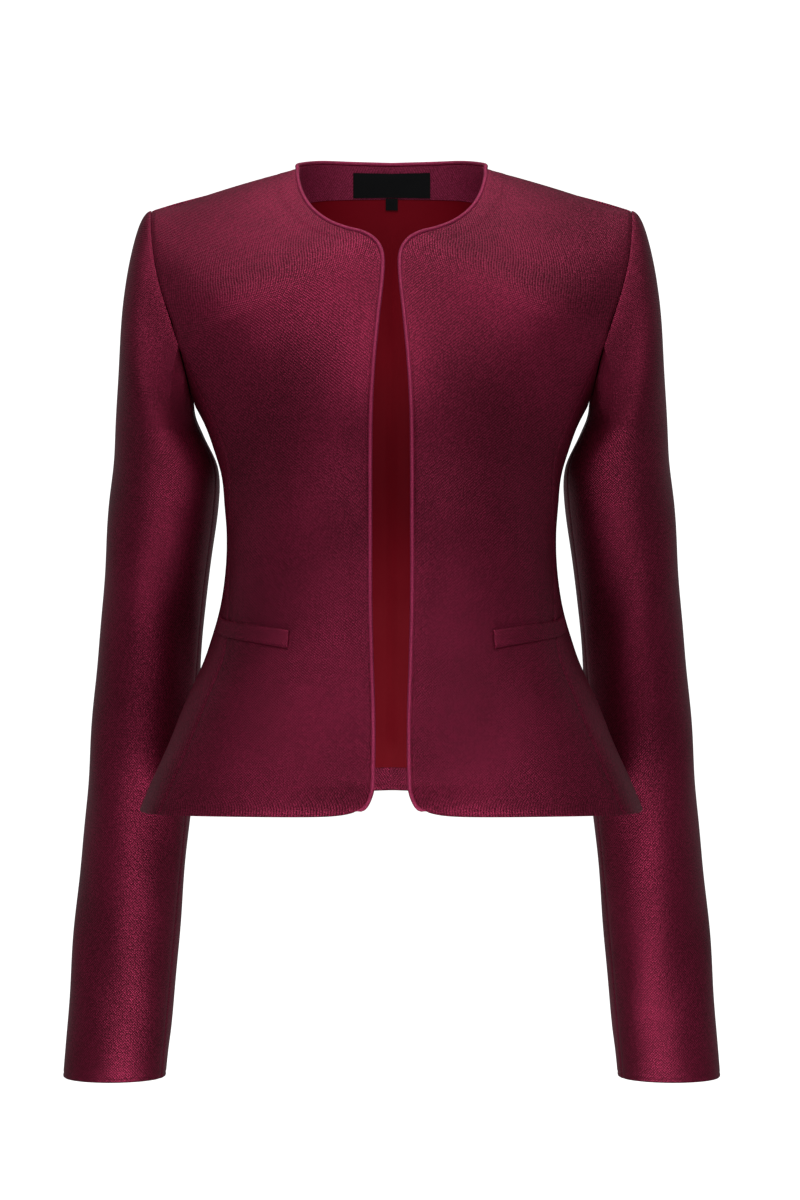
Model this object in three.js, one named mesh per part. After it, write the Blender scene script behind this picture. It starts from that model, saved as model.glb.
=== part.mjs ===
import * as THREE from 'three';

// A woman's fitted, collarless, edge to edge jacket in satin-faced brocade, filled out as if worn.
// Millimetres. +X is the viewer's right, +Y runs from the front of the jacket to its back, +Z is up.
// The origin lies between the two shoulder neck points, where the wearer's shoulders carry the jacket.

// Driving dimensions
const CLOTH = 1.8;            // wall of the interlined brocade
const SEAM_GAP = 0.3;         // daylight between two pieces at a seam
const SLEEVE_GAP = 0.35;      // daylight between the armhole and the sleeve head
const SHOULDER_SLOPE = 16.5;  // degrees that the shoulder seam falls
const PIPING_RADIUS = 1.7;    // corded piping round the front edges and neck
const PIPING_SIDES = 6;
const WELT_CLOTH = 1.5;       // pocket welt
const WELT_LIFT = 0.5;        // the welt stands this much clearer of the seam that it crosses
const FACING_CLOTH = 1.0;     // back neck facing
const LINING_CLOTH = 0.6;     // satin lining of the back
const LINING_HEM_AT = 0.96;   // station where the lining ends, 20 mm above the back hem
const LINING_INSET = 0.3;     // share of a column that the lining stays back from the side seams
const LABEL = { width: 65, topRow: 0.4, bottomRow: 1.9, cloth: 0.6 };
const SIZE_TAB = { width: 10.5, topRow: 1.94, bottomRow: 2.5, cloth: 0.6 };
const NOTCH = 0.25;           // station where the armhole ends and the side seams start
const NECK_COLUMN = 0.58;     // share of the back's top edge taken up by the shoulder seam

// Grid counts
const SEAM_ROWS = 13;
const FRONT_COLUMNS = 8;
const SIDE_COLUMNS = 6;
const PATCH_COLUMNS = 3;      // half of a label
const CAP_ROWS = 6;
const TUBE_ROWS = 13;
const FACING_ROWS = 2;        // rows of the back that the neck facing covers
const FACING_FROM = 4;        // column of the back where the neck facing starts

// Stations of the rows above the notch, closer where the neckline turns into the front edge
const FRONT_ARMHOLE_AT = [0, 0.0325, 0.065, 0.0975, 0.13, 0.1625, 0.195, 0.216, 0.234, NOTCH];
const BACK_ARMHOLE_AT = [0, 0.03, 0.06, 0.1, 0.14, 0.18, 0.215, NOTCH];
const HEM_AT = [0.96, 0.975, 0.988];
const BACK_NECK_AT = [0, 0.06, 0.13, 0.2, 0.4, 0.6, 0.8, 1];
const UNDER_SLEEVE_FROM = 4;  // column of the side panel where the front sleeve seam lands

// Seam curves of the right half. Columns: station along the seam, place, and turn, which is the
// plan direction of the cloth across the seam in degrees, from +X towards +Y.
const FRONT_EDGE = [
  { at: 0.000, x: 77.0, y: 4, z: -2.6, turn: 0 },
  { at: 0.035, x: 76.2, y: -7, z: -12, turn: -4 },
  { at: 0.070, x: 72.8, y: -19, z: -24, turn: -8 },
  { at: 0.105, x: 66.8, y: -31, z: -35.5, turn: -10 },
  { at: 0.135, x: 58.8, y: -41, z: -44.5, turn: -10 },
  { at: 0.165, x: 48.5, y: -50, z: -52, turn: -8 },
  { at: 0.195, x: 35.0, y: -59, z: -58, turn: -6 },
  { at: 0.215, x: 24.0, y: -64.5, z: -61.5, turn: -5 },
  { at: 0.232, x: 15.6, y: -69, z: -66.5, turn: -4 },
  { at: 0.245, x: 10.6, y: -73, z: -73, turn: -3 },
  { at: 0.258, x: 8.3, y: -77.5, z: -81, turn: -3 },
  { at: 0.290, x: 8.6, y: -85.5, z: -98, turn: -4 },
  { at: 0.340, x: 11.6, y: -98.5, z: -127, turn: -6 },
  { at: 0.400, x: 14.8, y: -111.5, z: -162, turn: -7 },
  { at: 0.460, x: 16.8, y: -117.5, z: -197, turn: -7 },
  { at: 0.520, x: 17.4, y: -115, z: -231, turn: -5 },
  { at: 0.620, x: 17.6, y: -104, z: -289, turn: -2 },
  { at: 0.720, x: 17.6, y: -105, z: -347, turn: -1 },
  { at: 0.800, x: 16.6, y: -109.5, z: -393, turn: 0 },
  { at: 0.880, x: 15.2, y: -114.5, z: -439, turn: 0 },
  { at: 0.965, x: 15.6, y: -119.5, z: -489, turn: 0 },
  { at: 0.978, x: 17.0, y: -120.2, z: -497, turn: 0 },
  { at: 0.989, x: 21.0, y: -120.7, z: -505, turn: 0 },
  { at: 1.000, x: 28.5, y: -121, z: -510, turn: 0 },
];
const FRONT_ARMHOLE = [
  { at: 0.00, x: 192.0, y: 2, z: -36, turn: 0 },
  { at: 0.03, x: 191.6, y: -8, z: -44, turn: 5 },
  { at: 0.07, x: 190.2, y: -20, z: -60, turn: 12 },
  { at: 0.11, x: 187.2, y: -32, z: -80, turn: 20 },
  { at: 0.16, x: 181.2, y: -44, z: -104, turn: 30 },
  { at: 0.21, x: 173.0, y: -53, z: -129, turn: 41 },
  { at: NOTCH, x: 166.0, y: -58, z: -150, turn: 50 },
];
const SIDE_FRONT_SEAM = [
  { at: NOTCH, x: 166.0, y: -58, z: -150, turn: 50 },
  { at: 0.31, x: 153.5, y: -56, z: -179, turn: 55 },
  { at: 0.37, x: 139.0, y: -57, z: -208, turn: 52 },
  { at: 0.43, x: 128.0, y: -58, z: -237, turn: 52 },
  { at: 0.49, x: 126.5, y: -52, z: -266, turn: 58 },
  { at: 0.55, x: 127.5, y: -40, z: -295, turn: 69 },
  { at: 0.64, x: 128.0, y: -46, z: -338, turn: 65 },
  { at: 0.74, x: 129.5, y: -67, z: -387, turn: 48 },
  { at: 0.82, x: 143.5, y: -73, z: -426, turn: 45 },
  { at: 0.91, x: 161.0, y: -78, z: -470, turn: 42 },
  { at: 1.00, x: 179.5, y: -83, z: -513.4, turn: 40 },
];
const SIDE_BACK_SEAM = [
  { at: NOTCH, x: 169.0, y: 57, z: -147, turn: 124 },
  { at: 0.34, x: 144.0, y: 46, z: -192, turn: 128 },
  { at: 0.43, x: 125.0, y: 46, z: -235, turn: 129 },
  { at: 0.55, x: 109.0, y: 43, z: -293, turn: 135 },
  { at: 0.66, x: 111.5, y: 45, z: -347, turn: 134 },
  { at: 0.74, x: 121.0, y: 49, z: -385, turn: 134 },
  { at: 0.86, x: 140.0, y: 50, z: -440, turn: 134 },
  { at: 1.00, x: 164.0, y: 52, z: -511, turn: 135 },
];
const BACK_ARMHOLE = [
  { at: 0.00, x: 192.0, y: 2, z: -36, turn: 180 },
  { at: 0.03, x: 191.8, y: 12, z: -43, turn: 174 },
  { at: 0.07, x: 190.8, y: 25, z: -60, turn: 166 },
  { at: 0.11, x: 188.4, y: 36, z: -80, turn: 158 },
  { at: 0.16, x: 183.4, y: 46, z: -104, turn: 146 },
  { at: 0.21, x: 176.0, y: 53, z: -127, turn: 134 },
  { at: NOTCH, x: 169.0, y: 57, z: -147, turn: 124 },
];
const CENTRE_BACK = [
  { at: 0.00, x: 0, y: 62, z: 7, turn: 180 },
  { at: 0.10, x: 0, y: 75, z: -36, turn: 180 },
  { at: 0.18, x: 0, y: 87, z: -76, turn: 180 },
  { at: NOTCH, x: 0, y: 94, z: -112, turn: 180 },
  { at: 0.34, x: 0, y: 99, z: -163, turn: 180 },
  { at: 0.43, x: 0, y: 96, z: -215, turn: 180 },
  { at: 0.55, x: 0, y: 83, z: -285, turn: 180 },
  { at: 0.66, x: 0, y: 87, z: -343, turn: 180 },
  { at: 0.74, x: 0, y: 95, z: -382, turn: 180 },
  { at: 0.86, x: 0, y: 106, z: -440, turn: 180 },
  { at: 1.00, x: 0, y: 115, z: -506, turn: 180 },
];
const BACK_NECK = [
  { at: 0.0, x: 77.0, y: 4, z: -2.6 },
  { at: 0.2, x: 74.0, y: 19, z: 1.5 },
  { at: 0.45, x: 58.0, y: 41.5, z: 6 },
  { at: 0.7, x: 33.0, y: 56.5, z: 7.2 },
  { at: 1.0, x: 0.0, y: 62, z: 7 },
];
const UNDERARM = [
  { at: 0.00, x: 166.0, y: -58, z: -150 },
  { at: 0.18, x: 161.0, y: -45, z: -172 },
  { at: 0.36, x: 158.4, y: -23, z: -187 },
  { at: 0.52, x: 157.6, y: 0, z: -192 },
  { at: 0.68, x: 159.0, y: 23, z: -187 },
  { at: 0.84, x: 163.0, y: 43, z: -170 },
  { at: 1.00, x: 169.0, y: 57, z: -147 },
];

// Sleeve below the cap: centre, half width and half depth of a level ring at each height
const SLEEVE_TUBE = [
  { z: -214, x: 186.3, y: 11, across: 35.2, deep: 56 },
  { z: -240, x: 182.0, y: 25, across: 42.5, deep: 54 },
  { z: -270, x: 184.3, y: 39, across: 44.2, deep: 52 },
  { z: -348, x: 194.0, y: 63, across: 42.8, deep: 49 },
  { z: -420, x: 201.5, y: 78, across: 43.4, deep: 47 },
  { z: -512, x: 209.0, y: 85, across: 43.8, deep: 44 },
  { z: -620, x: 218.5, y: 82, across: 43.0, deep: 41 },
  { z: -739, x: 228.0, y: 73, across: 42.2, deep: 38 },
];
// Direction in which the sleeve head leaves the armhole, in parts of the distance to the tube.
// Round is degrees from the shoulder tip, towards the front or the back alike.
const SLEEVE_HEAD = [
  { round: 0, out: 0.36, swell: 0.00, down: 0.09 },
  { round: 60, out: 0.30, swell: 0.12, down: 0.34 },
  { round: 110, out: 0.26, swell: 0.14, down: 0.60 },
  { round: 150, out: 0.08, swell: 0.04, down: 0.90 },
  { round: 180, out: 0.02, swell: 0.00, down: 1.00 },
];

// Pocket welt on the right half: the panel shares that it spans, and the stations of its ends
const WELT = {
  frontShare: 0.50, frontColumns: 5, sideShare: 0.15, sideColumns: 1,
  innerAt: 0.738, outerAt: 0.686, heightAt: 0.0255,
};

const CLOTH_FINISH = { color: '#7d2140', roughness: 0.46, metalness: 0.15 };
const PIPING_FINISH = { color: '#8c2a4a', roughness: 0.5, metalness: 0.1 };
const LINING_FINISH = { color: '#5e0716', roughness: 0.4, metalness: 0.0 };
const LABEL_FINISH = { color: '#121416', roughness: 0.75, metalness: 0.0 };

// Value of one column of a table at a given station, on a smooth curve through its rows.
function along(rows, key, column, at) {
  const last = rows.length - 1;
  let i = 0;
  while (i < last - 1 && (rows[i + 1][key] - at) * (rows[last][key] - rows[0][key]) < 0) i += 1;
  const slope = (k) => {
    const a = rows[Math.max(k - 1, 0)];
    const b = rows[Math.min(k + 1, last)];
    return (b[column] - a[column]) / (b[key] - a[key]);
  };
  const span = rows[i + 1][key] - rows[i][key];
  const t = Math.min(Math.max((at - rows[i][key]) / span, 0), 1);
  return hermite(rows[i][column], slope(i) * span, rows[i + 1][column], slope(i + 1) * span, t);
}

function hermite(a, fromA, b, intoB, t) {
  const t2 = t * t;
  const t3 = t2 * t;
  return (2 * t3 - 3 * t2 + 1) * a + (t3 - 2 * t2 + t) * fromA
    + (3 * t2 - 2 * t3) * b + (t3 - t2) * intoB;
}

function place(rows, at) {
  return new THREE.Vector3(
    along(rows, 'at', 'x', at), along(rows, 'at', 'y', at), along(rows, 'at', 'z', at));
}

function ease(t) {
  const c = Math.min(Math.max(t, 0), 1);
  return c * c * (3 - 2 * c);
}

// A seam of the body: the armhole above the notch and the long seam below it.
function frontOuterSeam(at) {
  return at <= NOTCH ? seamPoint(FRONT_ARMHOLE, at) : seamPoint(SIDE_FRONT_SEAM, at);
}

function backOuterSeam(at) {
  return at <= NOTCH ? seamPoint(BACK_ARMHOLE, at) : seamPoint(SIDE_BACK_SEAM, at);
}

// Place on a seam, the plan direction of the cloth across it, and the outward normal there.
function seamPoint(rows, at) {
  const step = 0.004;
  const lo = Math.max(at - step, rows[0].at);
  const hi = Math.min(at + step, rows[rows.length - 1].at);
  const turn = THREE.MathUtils.degToRad(along(rows, 'at', 'turn', at));
  const across = new THREE.Vector3(Math.cos(turn), Math.sin(turn), 0);
  const down = place(rows, hi).sub(place(rows, lo)).normalize();
  const normal = new THREE.Vector3().crossVectors(down, across).normalize();
  return { point: place(rows, at), across, normal };
}

// One row of cloth from seam to seam, as a smooth arc in plan.
function rowPoint(from, to, share, zShare) {
  const chord = Math.hypot(to.point.x - from.point.x, to.point.y - from.point.y);
  return new THREE.Vector3(
    hermite(from.point.x, from.across.x * chord, to.point.x, to.across.x * chord, share),
    hermite(from.point.y, from.across.y * chord, to.point.y, to.across.y * chord, share),
    THREE.MathUtils.lerp(from.point.z, to.point.z, zShare));
}

// Outer surface of the front: share 0 is the neck and front edge, 1 the armhole and side seam.
function frontSurface(share, at) {
  const corner = 1 + 14 * ease((at - 0.95) / 0.05);
  const zShare = 1 - Math.pow(1 - share, corner);
  return rowPoint(seamPoint(FRONT_EDGE, at), frontOuterSeam(at), share, zShare);
}

// Outer surface of the side panel: share 0 is the front seam, 1 the back seam.
function sideSurface(share, at) {
  const point = rowPoint(seamPoint(SIDE_FRONT_SEAM, at), seamPoint(SIDE_BACK_SEAM, at), share, share);
  const top = rowPoint(
    seamPoint(SIDE_FRONT_SEAM, NOTCH), seamPoint(SIDE_BACK_SEAM, NOTCH), share, share);
  const fade = Math.pow(Math.max(1 - (at - NOTCH) / 0.38, 0), 2);
  return point.addScaledVector(place(UNDERARM, share).sub(top), fade);
}

// Outer surface of the back: share 0 is the armhole and side seam, 1 the centre back.
function backSurface(share, at) {
  const point = rowPoint(backOuterSeam(at), seamPoint(CENTRE_BACK, at), share, share);
  const top = rowPoint(backOuterSeam(0), seamPoint(CENTRE_BACK, 0), share, share);
  const fade = Math.pow(Math.max(1 - at / 0.34, 0), 2);
  return point.addScaledVector(backTopEdge(share).sub(top), fade);
}

function backTopEdge(share) {
  if (share <= NECK_COLUMN) {
    return place(FRONT_ARMHOLE, 0).lerp(place(FRONT_EDGE, 0), share / NECK_COLUMN);
  }
  return place(BACK_NECK, (share - NECK_COLUMN) / (1 - NECK_COLUMN));
}

// Grid of points with rows of stations and columns of shares.
function sample(surface, shares, stations) {
  return stations.map((at) => shares.map((share) => surface(share, at)));
}

function spread(from, to, count) {
  return Array.from({ length: count + 1 }, (_, i) => from + (to - from) * i / count);
}

// Outward normals of a grid, from its own neighbours.
function gridNormals(grid) {
  const rows = grid.length;
  const columns = grid[0].length;
  return grid.map((row, r) => row.map((_, c) => {
    const down = grid[Math.min(r + 1, rows - 1)][c].clone().sub(grid[Math.max(r - 1, 0)][c]);
    const across = row[Math.min(c + 1, columns - 1)].clone().sub(row[Math.max(c - 1, 0)]);
    return down.cross(across).normalize();
  }));
}

// Closed wall from a grid of outer points: the inner side lies along the given directions.
function wall(outer, inner) {
  const rows = outer.length;
  const columns = outer[0].length;
  const positions = [];
  for (const grid of [outer, inner]) {
    for (const row of grid) for (const p of row) positions.push(p.x, p.y, p.z);
  }
  const index = [];
  const id = (side, r, c) => side * rows * columns + r * columns + c;
  const quad = (a, b, c, d) => index.push(a, b, c, a, c, d);
  for (let r = 0; r < rows - 1; r += 1) {
    for (let c = 0; c < columns - 1; c += 1) {
      quad(id(0, r, c), id(0, r + 1, c), id(0, r + 1, c + 1), id(0, r, c + 1));
      quad(id(1, r, c), id(1, r, c + 1), id(1, r + 1, c + 1), id(1, r + 1, c));
    }
  }
  for (let c = 0; c < columns - 1; c += 1) {
    quad(id(0, 0, c), id(0, 0, c + 1), id(1, 0, c + 1), id(1, 0, c));
    quad(id(0, rows - 1, c), id(1, rows - 1, c), id(1, rows - 1, c + 1), id(0, rows - 1, c + 1));
  }
  for (let r = 0; r < rows - 1; r += 1) {
    quad(id(0, r, 0), id(1, r, 0), id(1, r + 1, 0), id(0, r + 1, 0));
    quad(id(0, r, columns - 1), id(0, r + 1, columns - 1), id(1, r + 1, columns - 1), id(1, r, columns - 1));
  }
  const geometry = new THREE.BufferGeometry();
  geometry.setAttribute('position', new THREE.Float32BufferAttribute(positions, 3));
  geometry.setIndex(index);
  return geometry;
}

function moved(grid, normals, distance) {
  return grid.map((row, r) => row.map((p, c) => p.clone().addScaledVector(normals[r][c], distance)));
}

// The same wall on the other half of the jacket.
function mirrored(geometry) {
  const copy = geometry.clone();
  const position = copy.attributes.position;
  for (let i = 0; i < position.count; i += 1) position.setX(i, -position.getX(i));
  const index = copy.index.array;
  for (let i = 0; i < index.length; i += 3) {
    const second = index[i + 1];
    index[i + 1] = index[i + 2];
    index[i + 2] = second;
  }
  return copy;
}

const seamStations = [...spread(NOTCH, 1, SEAM_ROWS), ...HEM_AT].sort((a, b) => a - b);
const frontStations = [...FRONT_ARMHOLE_AT, ...seamStations.slice(1)];
const backStations = [...BACK_ARMHOLE_AT, ...seamStations.slice(1)];
const backShares = [
  ...spread(0, NECK_COLUMN, FRONT_COLUMNS),
  ...BACK_NECK_AT.slice(1).map((at) => THREE.MathUtils.lerp(NECK_COLUMN, 1, at)),
];
const shoulderNormal = new THREE.Vector3(0, 0, 1)
  .applyAxisAngle(new THREE.Vector3(0, 1, 0), THREE.MathUtils.degToRad(SHOULDER_SLOPE));

// Sets the edge column of a panel back from its seam and gives it the seam's own normal.
function trimColumn(panel, column, stations, seam, inset) {
  stations.forEach((at, r) => {
    const here = seam(at);
    panel.grid[r][column].addScaledVector(here.across, inset);
    panel.normals[r][column].copy(here.normal);
  });
}

function trimShoulder(panel, inset) {
  for (let c = 0; c <= FRONT_COLUMNS; c += 1) {
    panel.grid[0][c].y += inset;
    panel.normals[0][c].copy(shoulderNormal);
  }
}

function buildPanel(surface, shares, stations) {
  const grid = sample(surface, shares, stations);
  return { grid, normals: gridNormals(grid) };
}

function buildFront() {
  const panel = buildPanel(frontSurface, spread(0, 1, FRONT_COLUMNS), frontStations);
  trimColumn(panel, FRONT_COLUMNS, frontStations, frontOuterSeam, -SEAM_GAP / 2);
  trimShoulder(panel, -SEAM_GAP / 2);
  return panel;
}

function buildSide() {
  const panel = buildPanel(sideSurface, spread(0, 1, SIDE_COLUMNS), seamStations);
  trimColumn(panel, 0, seamStations, (at) => seamPoint(SIDE_FRONT_SEAM, at), SEAM_GAP / 2);
  trimColumn(panel, SIDE_COLUMNS, seamStations, (at) => seamPoint(SIDE_BACK_SEAM, at), -SEAM_GAP / 2);
  return panel;
}

function buildBack() {
  const panel = buildPanel(backSurface, backShares, backStations);
  trimColumn(panel, 0, backStations, backOuterSeam, SEAM_GAP / 2);
  trimColumn(panel, backShares.length - 1, backStations, (at) => seamPoint(CENTRE_BACK, at), -SEAM_GAP / 2);
  trimShoulder(panel, SEAM_GAP / 2);
  return panel;
}

// The armhole as one loop, from the shoulder tip over the back, under the arm and up the front.
// Each point keeps its place, the body's normal there, and where on its panel it lies.
function armholeLoop(front, side, back) {
  const loop = [];
  for (let r = 0; r < BACK_ARMHOLE_AT.length; r += 1) {
    loop.push({ point: backOuterSeam(BACK_ARMHOLE_AT[r]).point, panel: back, r, c: 0 });
  }
  for (let c = SIDE_COLUMNS - 1; c > 0; c -= 1) {
    loop.push({ point: place(UNDERARM, c / SIDE_COLUMNS), panel: side, r: 0, c });
  }
  for (let r = FRONT_ARMHOLE_AT.length - 1; r > 0; r -= 1) {
    loop.push({ point: frontOuterSeam(FRONT_ARMHOLE_AT[r]).point, panel: front, r, c: FRONT_COLUMNS });
  }
  const lowest = BACK_ARMHOLE_AT.length - 1 + SIDE_COLUMNS / 2;
  const lengths = loop.map((spot, i) => spot.point.distanceTo(loop[(i + 1) % loop.length].point));
  const total = (from, to) => lengths.slice(from, to).reduce((sum, d) => sum + d, 0);
  const toLowest = total(0, lowest);
  const fromLowest = total(lowest, loop.length);
  loop.forEach((spot, i) => {
    spot.round = i <= lowest
      ? 180 * total(0, i) / toLowest
      : 180 + 180 * total(lowest, i) / fromLowest;
    spot.normal = spot.panel.normals[spot.r][spot.c];
  });
  return loop;
}

function tubePoint(round, z) {
  const turn = THREE.MathUtils.degToRad(round);
  const at = (column) => along(SLEEVE_TUBE, 'z', column, z);
  const out = at('across') * Math.cos(turn);
  return new THREE.Vector3(at('x') + out, at('y') + at('deep') * Math.sin(turn), z);
}

// Point of the sleeve head, between the armhole (share 0) and the top of the tube (share 1).
function headPoint(spot, share) {
  const top = SLEEVE_TUBE[0].z;
  const from = spot.point.clone();
  from.x += SLEEVE_GAP;
  const into = tubePoint(spot.round, top);
  const reach = from.distanceTo(into);
  const folded = spot.round <= 180 ? spot.round : 360 - spot.round;
  const back = Math.sign(180 - spot.round);
  const lean = (column) => along(SLEEVE_HEAD, 'round', column, folded) * reach;
  const leave = new THREE.Vector3(lean('out'), back * lean('swell'), -lean('down'));
  const arrive = tubePoint(spot.round, top - 8).sub(into).normalize().multiplyScalar(reach);
  return new THREE.Vector3(
    hermite(from.x, leave.x, into.x, arrive.x, share),
    hermite(from.y, leave.y, into.y, arrive.y, share),
    hermite(from.z, leave.z, into.z, arrive.z, share));
}

function sleeveGrid(loop) {
  const around = [...loop, loop[0]];
  const head = spread(0, 1, CAP_ROWS).map((share) => around.map((spot) => headPoint(spot, share)));
  const heights = spread(SLEEVE_TUBE[0].z, SLEEVE_TUBE[SLEEVE_TUBE.length - 1].z, TUBE_ROWS).slice(1);
  const tube = heights.map((z) => around.map((spot) => tubePoint(spot.round, z)));
  return [...head, ...tube];
}

function tubeNormals(grid) {
  const normals = gridNormals(grid);
  const last = grid[0].length - 1;
  grid.forEach((row, r) => {
    const down = grid[Math.min(r + 1, grid.length - 1)][0].clone().sub(grid[Math.max(r - 1, 0)][0]);
    const across = row[1].clone().sub(row[last - 1]);
    normals[r][0] = down.cross(across).normalize();
    normals[r][last] = normals[r][0].clone();
  });
  return normals;
}

// Where the sleeve head and the body meet in a ridge, both walls end on one shared mitre.
function mitreArmhole(loop, grid, normals) {
  loop.forEach((spot, i) => {
    const leaving = grid[1][i].clone().sub(grid[0][i]).normalize();
    if (spot.normal.dot(leaving) >= 0) return;
    const mitre = spot.normal.clone().add(normals[0][i]).normalize();
    mitre.divideScalar(mitre.dot(spot.normal));
    spot.normal.copy(mitre);
    normals[0][i].copy(mitre);
    if (i === 0) normals[0][grid[0].length - 1].copy(mitre);
  });
}

// Part of a grid between two columns, running on past the join of the loop where it has to.
function columnsOf(grid, from, to) {
  const loopLength = grid[0].length - 1;
  const count = ((to - from + loopLength) % loopLength) + 1;
  return grid.map((row) => Array.from({ length: count }, (_, i) => row[(from + i) % loopLength].clone()));
}

function parted(grid, inset) {
  grid.forEach((row) => {
    const last = row.length - 1;
    const first = row[1].clone().sub(row[0]).normalize();
    const final = row[last - 1].clone().sub(row[last]).normalize();
    row[0].addScaledVector(first, inset);
    row[last].addScaledVector(final, inset);
  });
  return grid;
}

function shell(panel, thickness) {
  return wall(panel.grid, moved(panel.grid, panel.normals, -thickness));
}

const front = buildFront();
const side = buildSide();
const back = buildBack();
const loop = armholeLoop(front, side, back);
const sleeve = sleeveGrid(loop);
const sleeveNormals = tubeNormals(sleeve);
mitreArmhole(loop, sleeve, sleeveNormals);

const backSleeveSeam = BACK_ARMHOLE_AT.length - 1;
const frontSleeveSeam = backSleeveSeam + UNDER_SLEEVE_FROM;

function sleevePart(from, to) {
  return {
    grid: parted(columnsOf(sleeve, from, to), SEAM_GAP / 2),
    normals: columnsOf(sleeveNormals, from, to),
  };
}

// Corded piping along the front edge and round the neck, worked out from the panels' own edges.
function pipingPath() {
  const half = [];
  for (let r = frontStations.length - 1; r >= 0; r -= 1) {
    const point = front.grid[r][0].clone();
    const outwards = point.clone().sub(front.grid[r][1]).normalize();
    half.push({ point, outwards, normal: front.normals[r][0].clone() });
  }
  for (let c = FRONT_COLUMNS; c < backShares.length; c += 1) {
    const point = back.grid[0][c].clone();
    const outwards = point.clone().sub(back.grid[1][c]).normalize();
    half.push({ point, outwards, normal: back.normals[0][c].clone() });
  }
  const [shoulder] = half.splice(frontStations.length, 1);
  const meeting = half[frontStations.length - 1];
  for (const key of Object.keys(meeting)) meeting[key].lerp(shoulder[key], 0.5);
  half[half.length - 1].point.x = 0;
  const flipped = half.slice(0, -1).reverse().map((spot) => {
    const copy = { point: spot.point.clone(), outwards: spot.outwards.clone(), normal: spot.normal.clone() };
    for (const vector of Object.values(copy)) vector.x = -vector.x;
    return copy;
  });
  return [...half, ...flipped];
}

function buildPiping() {
  const path = pipingPath();
  const positions = [];
  const last = path.length - 1;
  path.forEach((spot, i) => {
    const run = path[Math.min(i + 1, last)].point.clone().sub(path[Math.max(i - 1, 0)].point).normalize();
    const away = spot.outwards.clone().addScaledVector(run, -spot.outwards.dot(run)).normalize();
    const up = spot.normal.clone().addScaledVector(run, -spot.normal.dot(run))
      .addScaledVector(away, -spot.normal.dot(away)).normalize();
    const centre = spot.point.clone()
      .addScaledVector(away, SEAM_GAP + PIPING_RADIUS)
      .addScaledVector(up, -CLOTH / 3);
    for (let k = 0; k < PIPING_SIDES; k += 1) {
      const turn = 2 * Math.PI * k / PIPING_SIDES;
      const p = centre.clone()
        .addScaledVector(away, PIPING_RADIUS * Math.cos(turn))
        .addScaledVector(up, PIPING_RADIUS * Math.sin(turn));
      positions.push(p.x, p.y, p.z);
    }
  });
  const index = [];
  for (let i = 0; i < last; i += 1) {
    for (let k = 0; k < PIPING_SIDES; k += 1) {
      const next = (k + 1) % PIPING_SIDES;
      const a = i * PIPING_SIDES + k;
      const b = i * PIPING_SIDES + next;
      index.push(a, b, a + PIPING_SIDES, b, b + PIPING_SIDES, a + PIPING_SIDES);
    }
  }
  for (let k = 1; k < PIPING_SIDES - 1; k += 1) {
    index.push(0, k + 1, k);
    const end = last * PIPING_SIDES;
    index.push(end, end + k, end + k + 1);
  }
  const geometry = new THREE.BufferGeometry();
  geometry.setAttribute('position', new THREE.Float32BufferAttribute(positions, 3));
  geometry.setIndex(index);
  return geometry;
}

// Point and normal at a fractional row and column of a panel.
function onPanel(panel, r, c) {
  const r0 = Math.min(Math.floor(r), panel.grid.length - 2);
  const c0 = Math.min(Math.floor(c), panel.grid[0].length - 2);
  const blend = (grid) => {
    const upper = grid[r0][c0].clone().lerp(grid[r0][c0 + 1], c - c0);
    const lower = grid[r0 + 1][c0].clone().lerp(grid[r0 + 1][c0 + 1], c - c0);
    return upper.lerp(lower, r - r0);
  };
  return { point: blend(panel.grid), normal: blend(panel.normals).normalize() };
}

// Fractional row of a panel where a station falls.
function rowAt(stations, at) {
  let r = 0;
  while (r < stations.length - 2 && stations[r + 1] < at) r += 1;
  return r + (at - stations[r]) / (stations[r + 1] - stations[r]);
}

// Pocket welt: it lies on the front and runs on over the seam onto the side panel.
function buildWelt() {
  const rise = SEAM_GAP + WELT_LIFT;
  const columns = [
    ...spread(WELT.frontShare, 1, WELT.frontColumns),
    ...spread(1, 1 + WELT.sideShare, WELT.sideColumns).slice(1),
  ];
  const grid = [];
  const normals = [];
  for (const level of spread(0, 1, 2)) {
    const spots = columns.map((share, i) => {
      const at = THREE.MathUtils.lerp(WELT.innerAt, WELT.outerAt, i / (columns.length - 1))
        + level * WELT.heightAt;
      return share <= 1
        ? onPanel(front, rowAt(frontStations, at), share * FRONT_COLUMNS)
        : onPanel(side, rowAt(seamStations, at), (share - 1) * SIDE_COLUMNS);
    });
    grid.push(spots.map((spot) => spot.point));
    normals.push(spots.map((spot) => spot.normal));
  }
  return wall(moved(grid, normals, rise + WELT_CLOTH), moved(grid, normals, rise));
}

// Part of the back's own points, for what lies inside it.
function partOfBack(fromRow, toRow, fromColumn) {
  const take = (source) => source.slice(fromRow, toRow + 1)
    .map((row) => row.slice(fromColumn).map((p) => p.clone()));
  return { grid: take(back.grid), normals: take(back.normals) };
}

function lyingInside(panel, depth, thickness) {
  return wall(moved(panel.grid, panel.normals, -depth), moved(panel.grid, panel.normals, -depth - thickness));
}

const facingDepth = CLOTH + SEAM_GAP;

function buildFacing() {
  return lyingInside(partOfBack(0, FACING_ROWS, FACING_FROM), facingDepth, FACING_CLOTH);
}

function buildLining() {
  const hemRow = backStations.findIndex((at) => at >= LINING_HEM_AT);
  const panel = partOfBack(FACING_ROWS, hemRow, 0);
  panel.grid[0].forEach((p) => { p.z -= SEAM_GAP; });
  panel.grid.forEach((row) => row[0].lerp(row[1], LINING_INSET));
  return lyingInside(panel, facingDepth, LINING_CLOTH);
}

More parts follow.
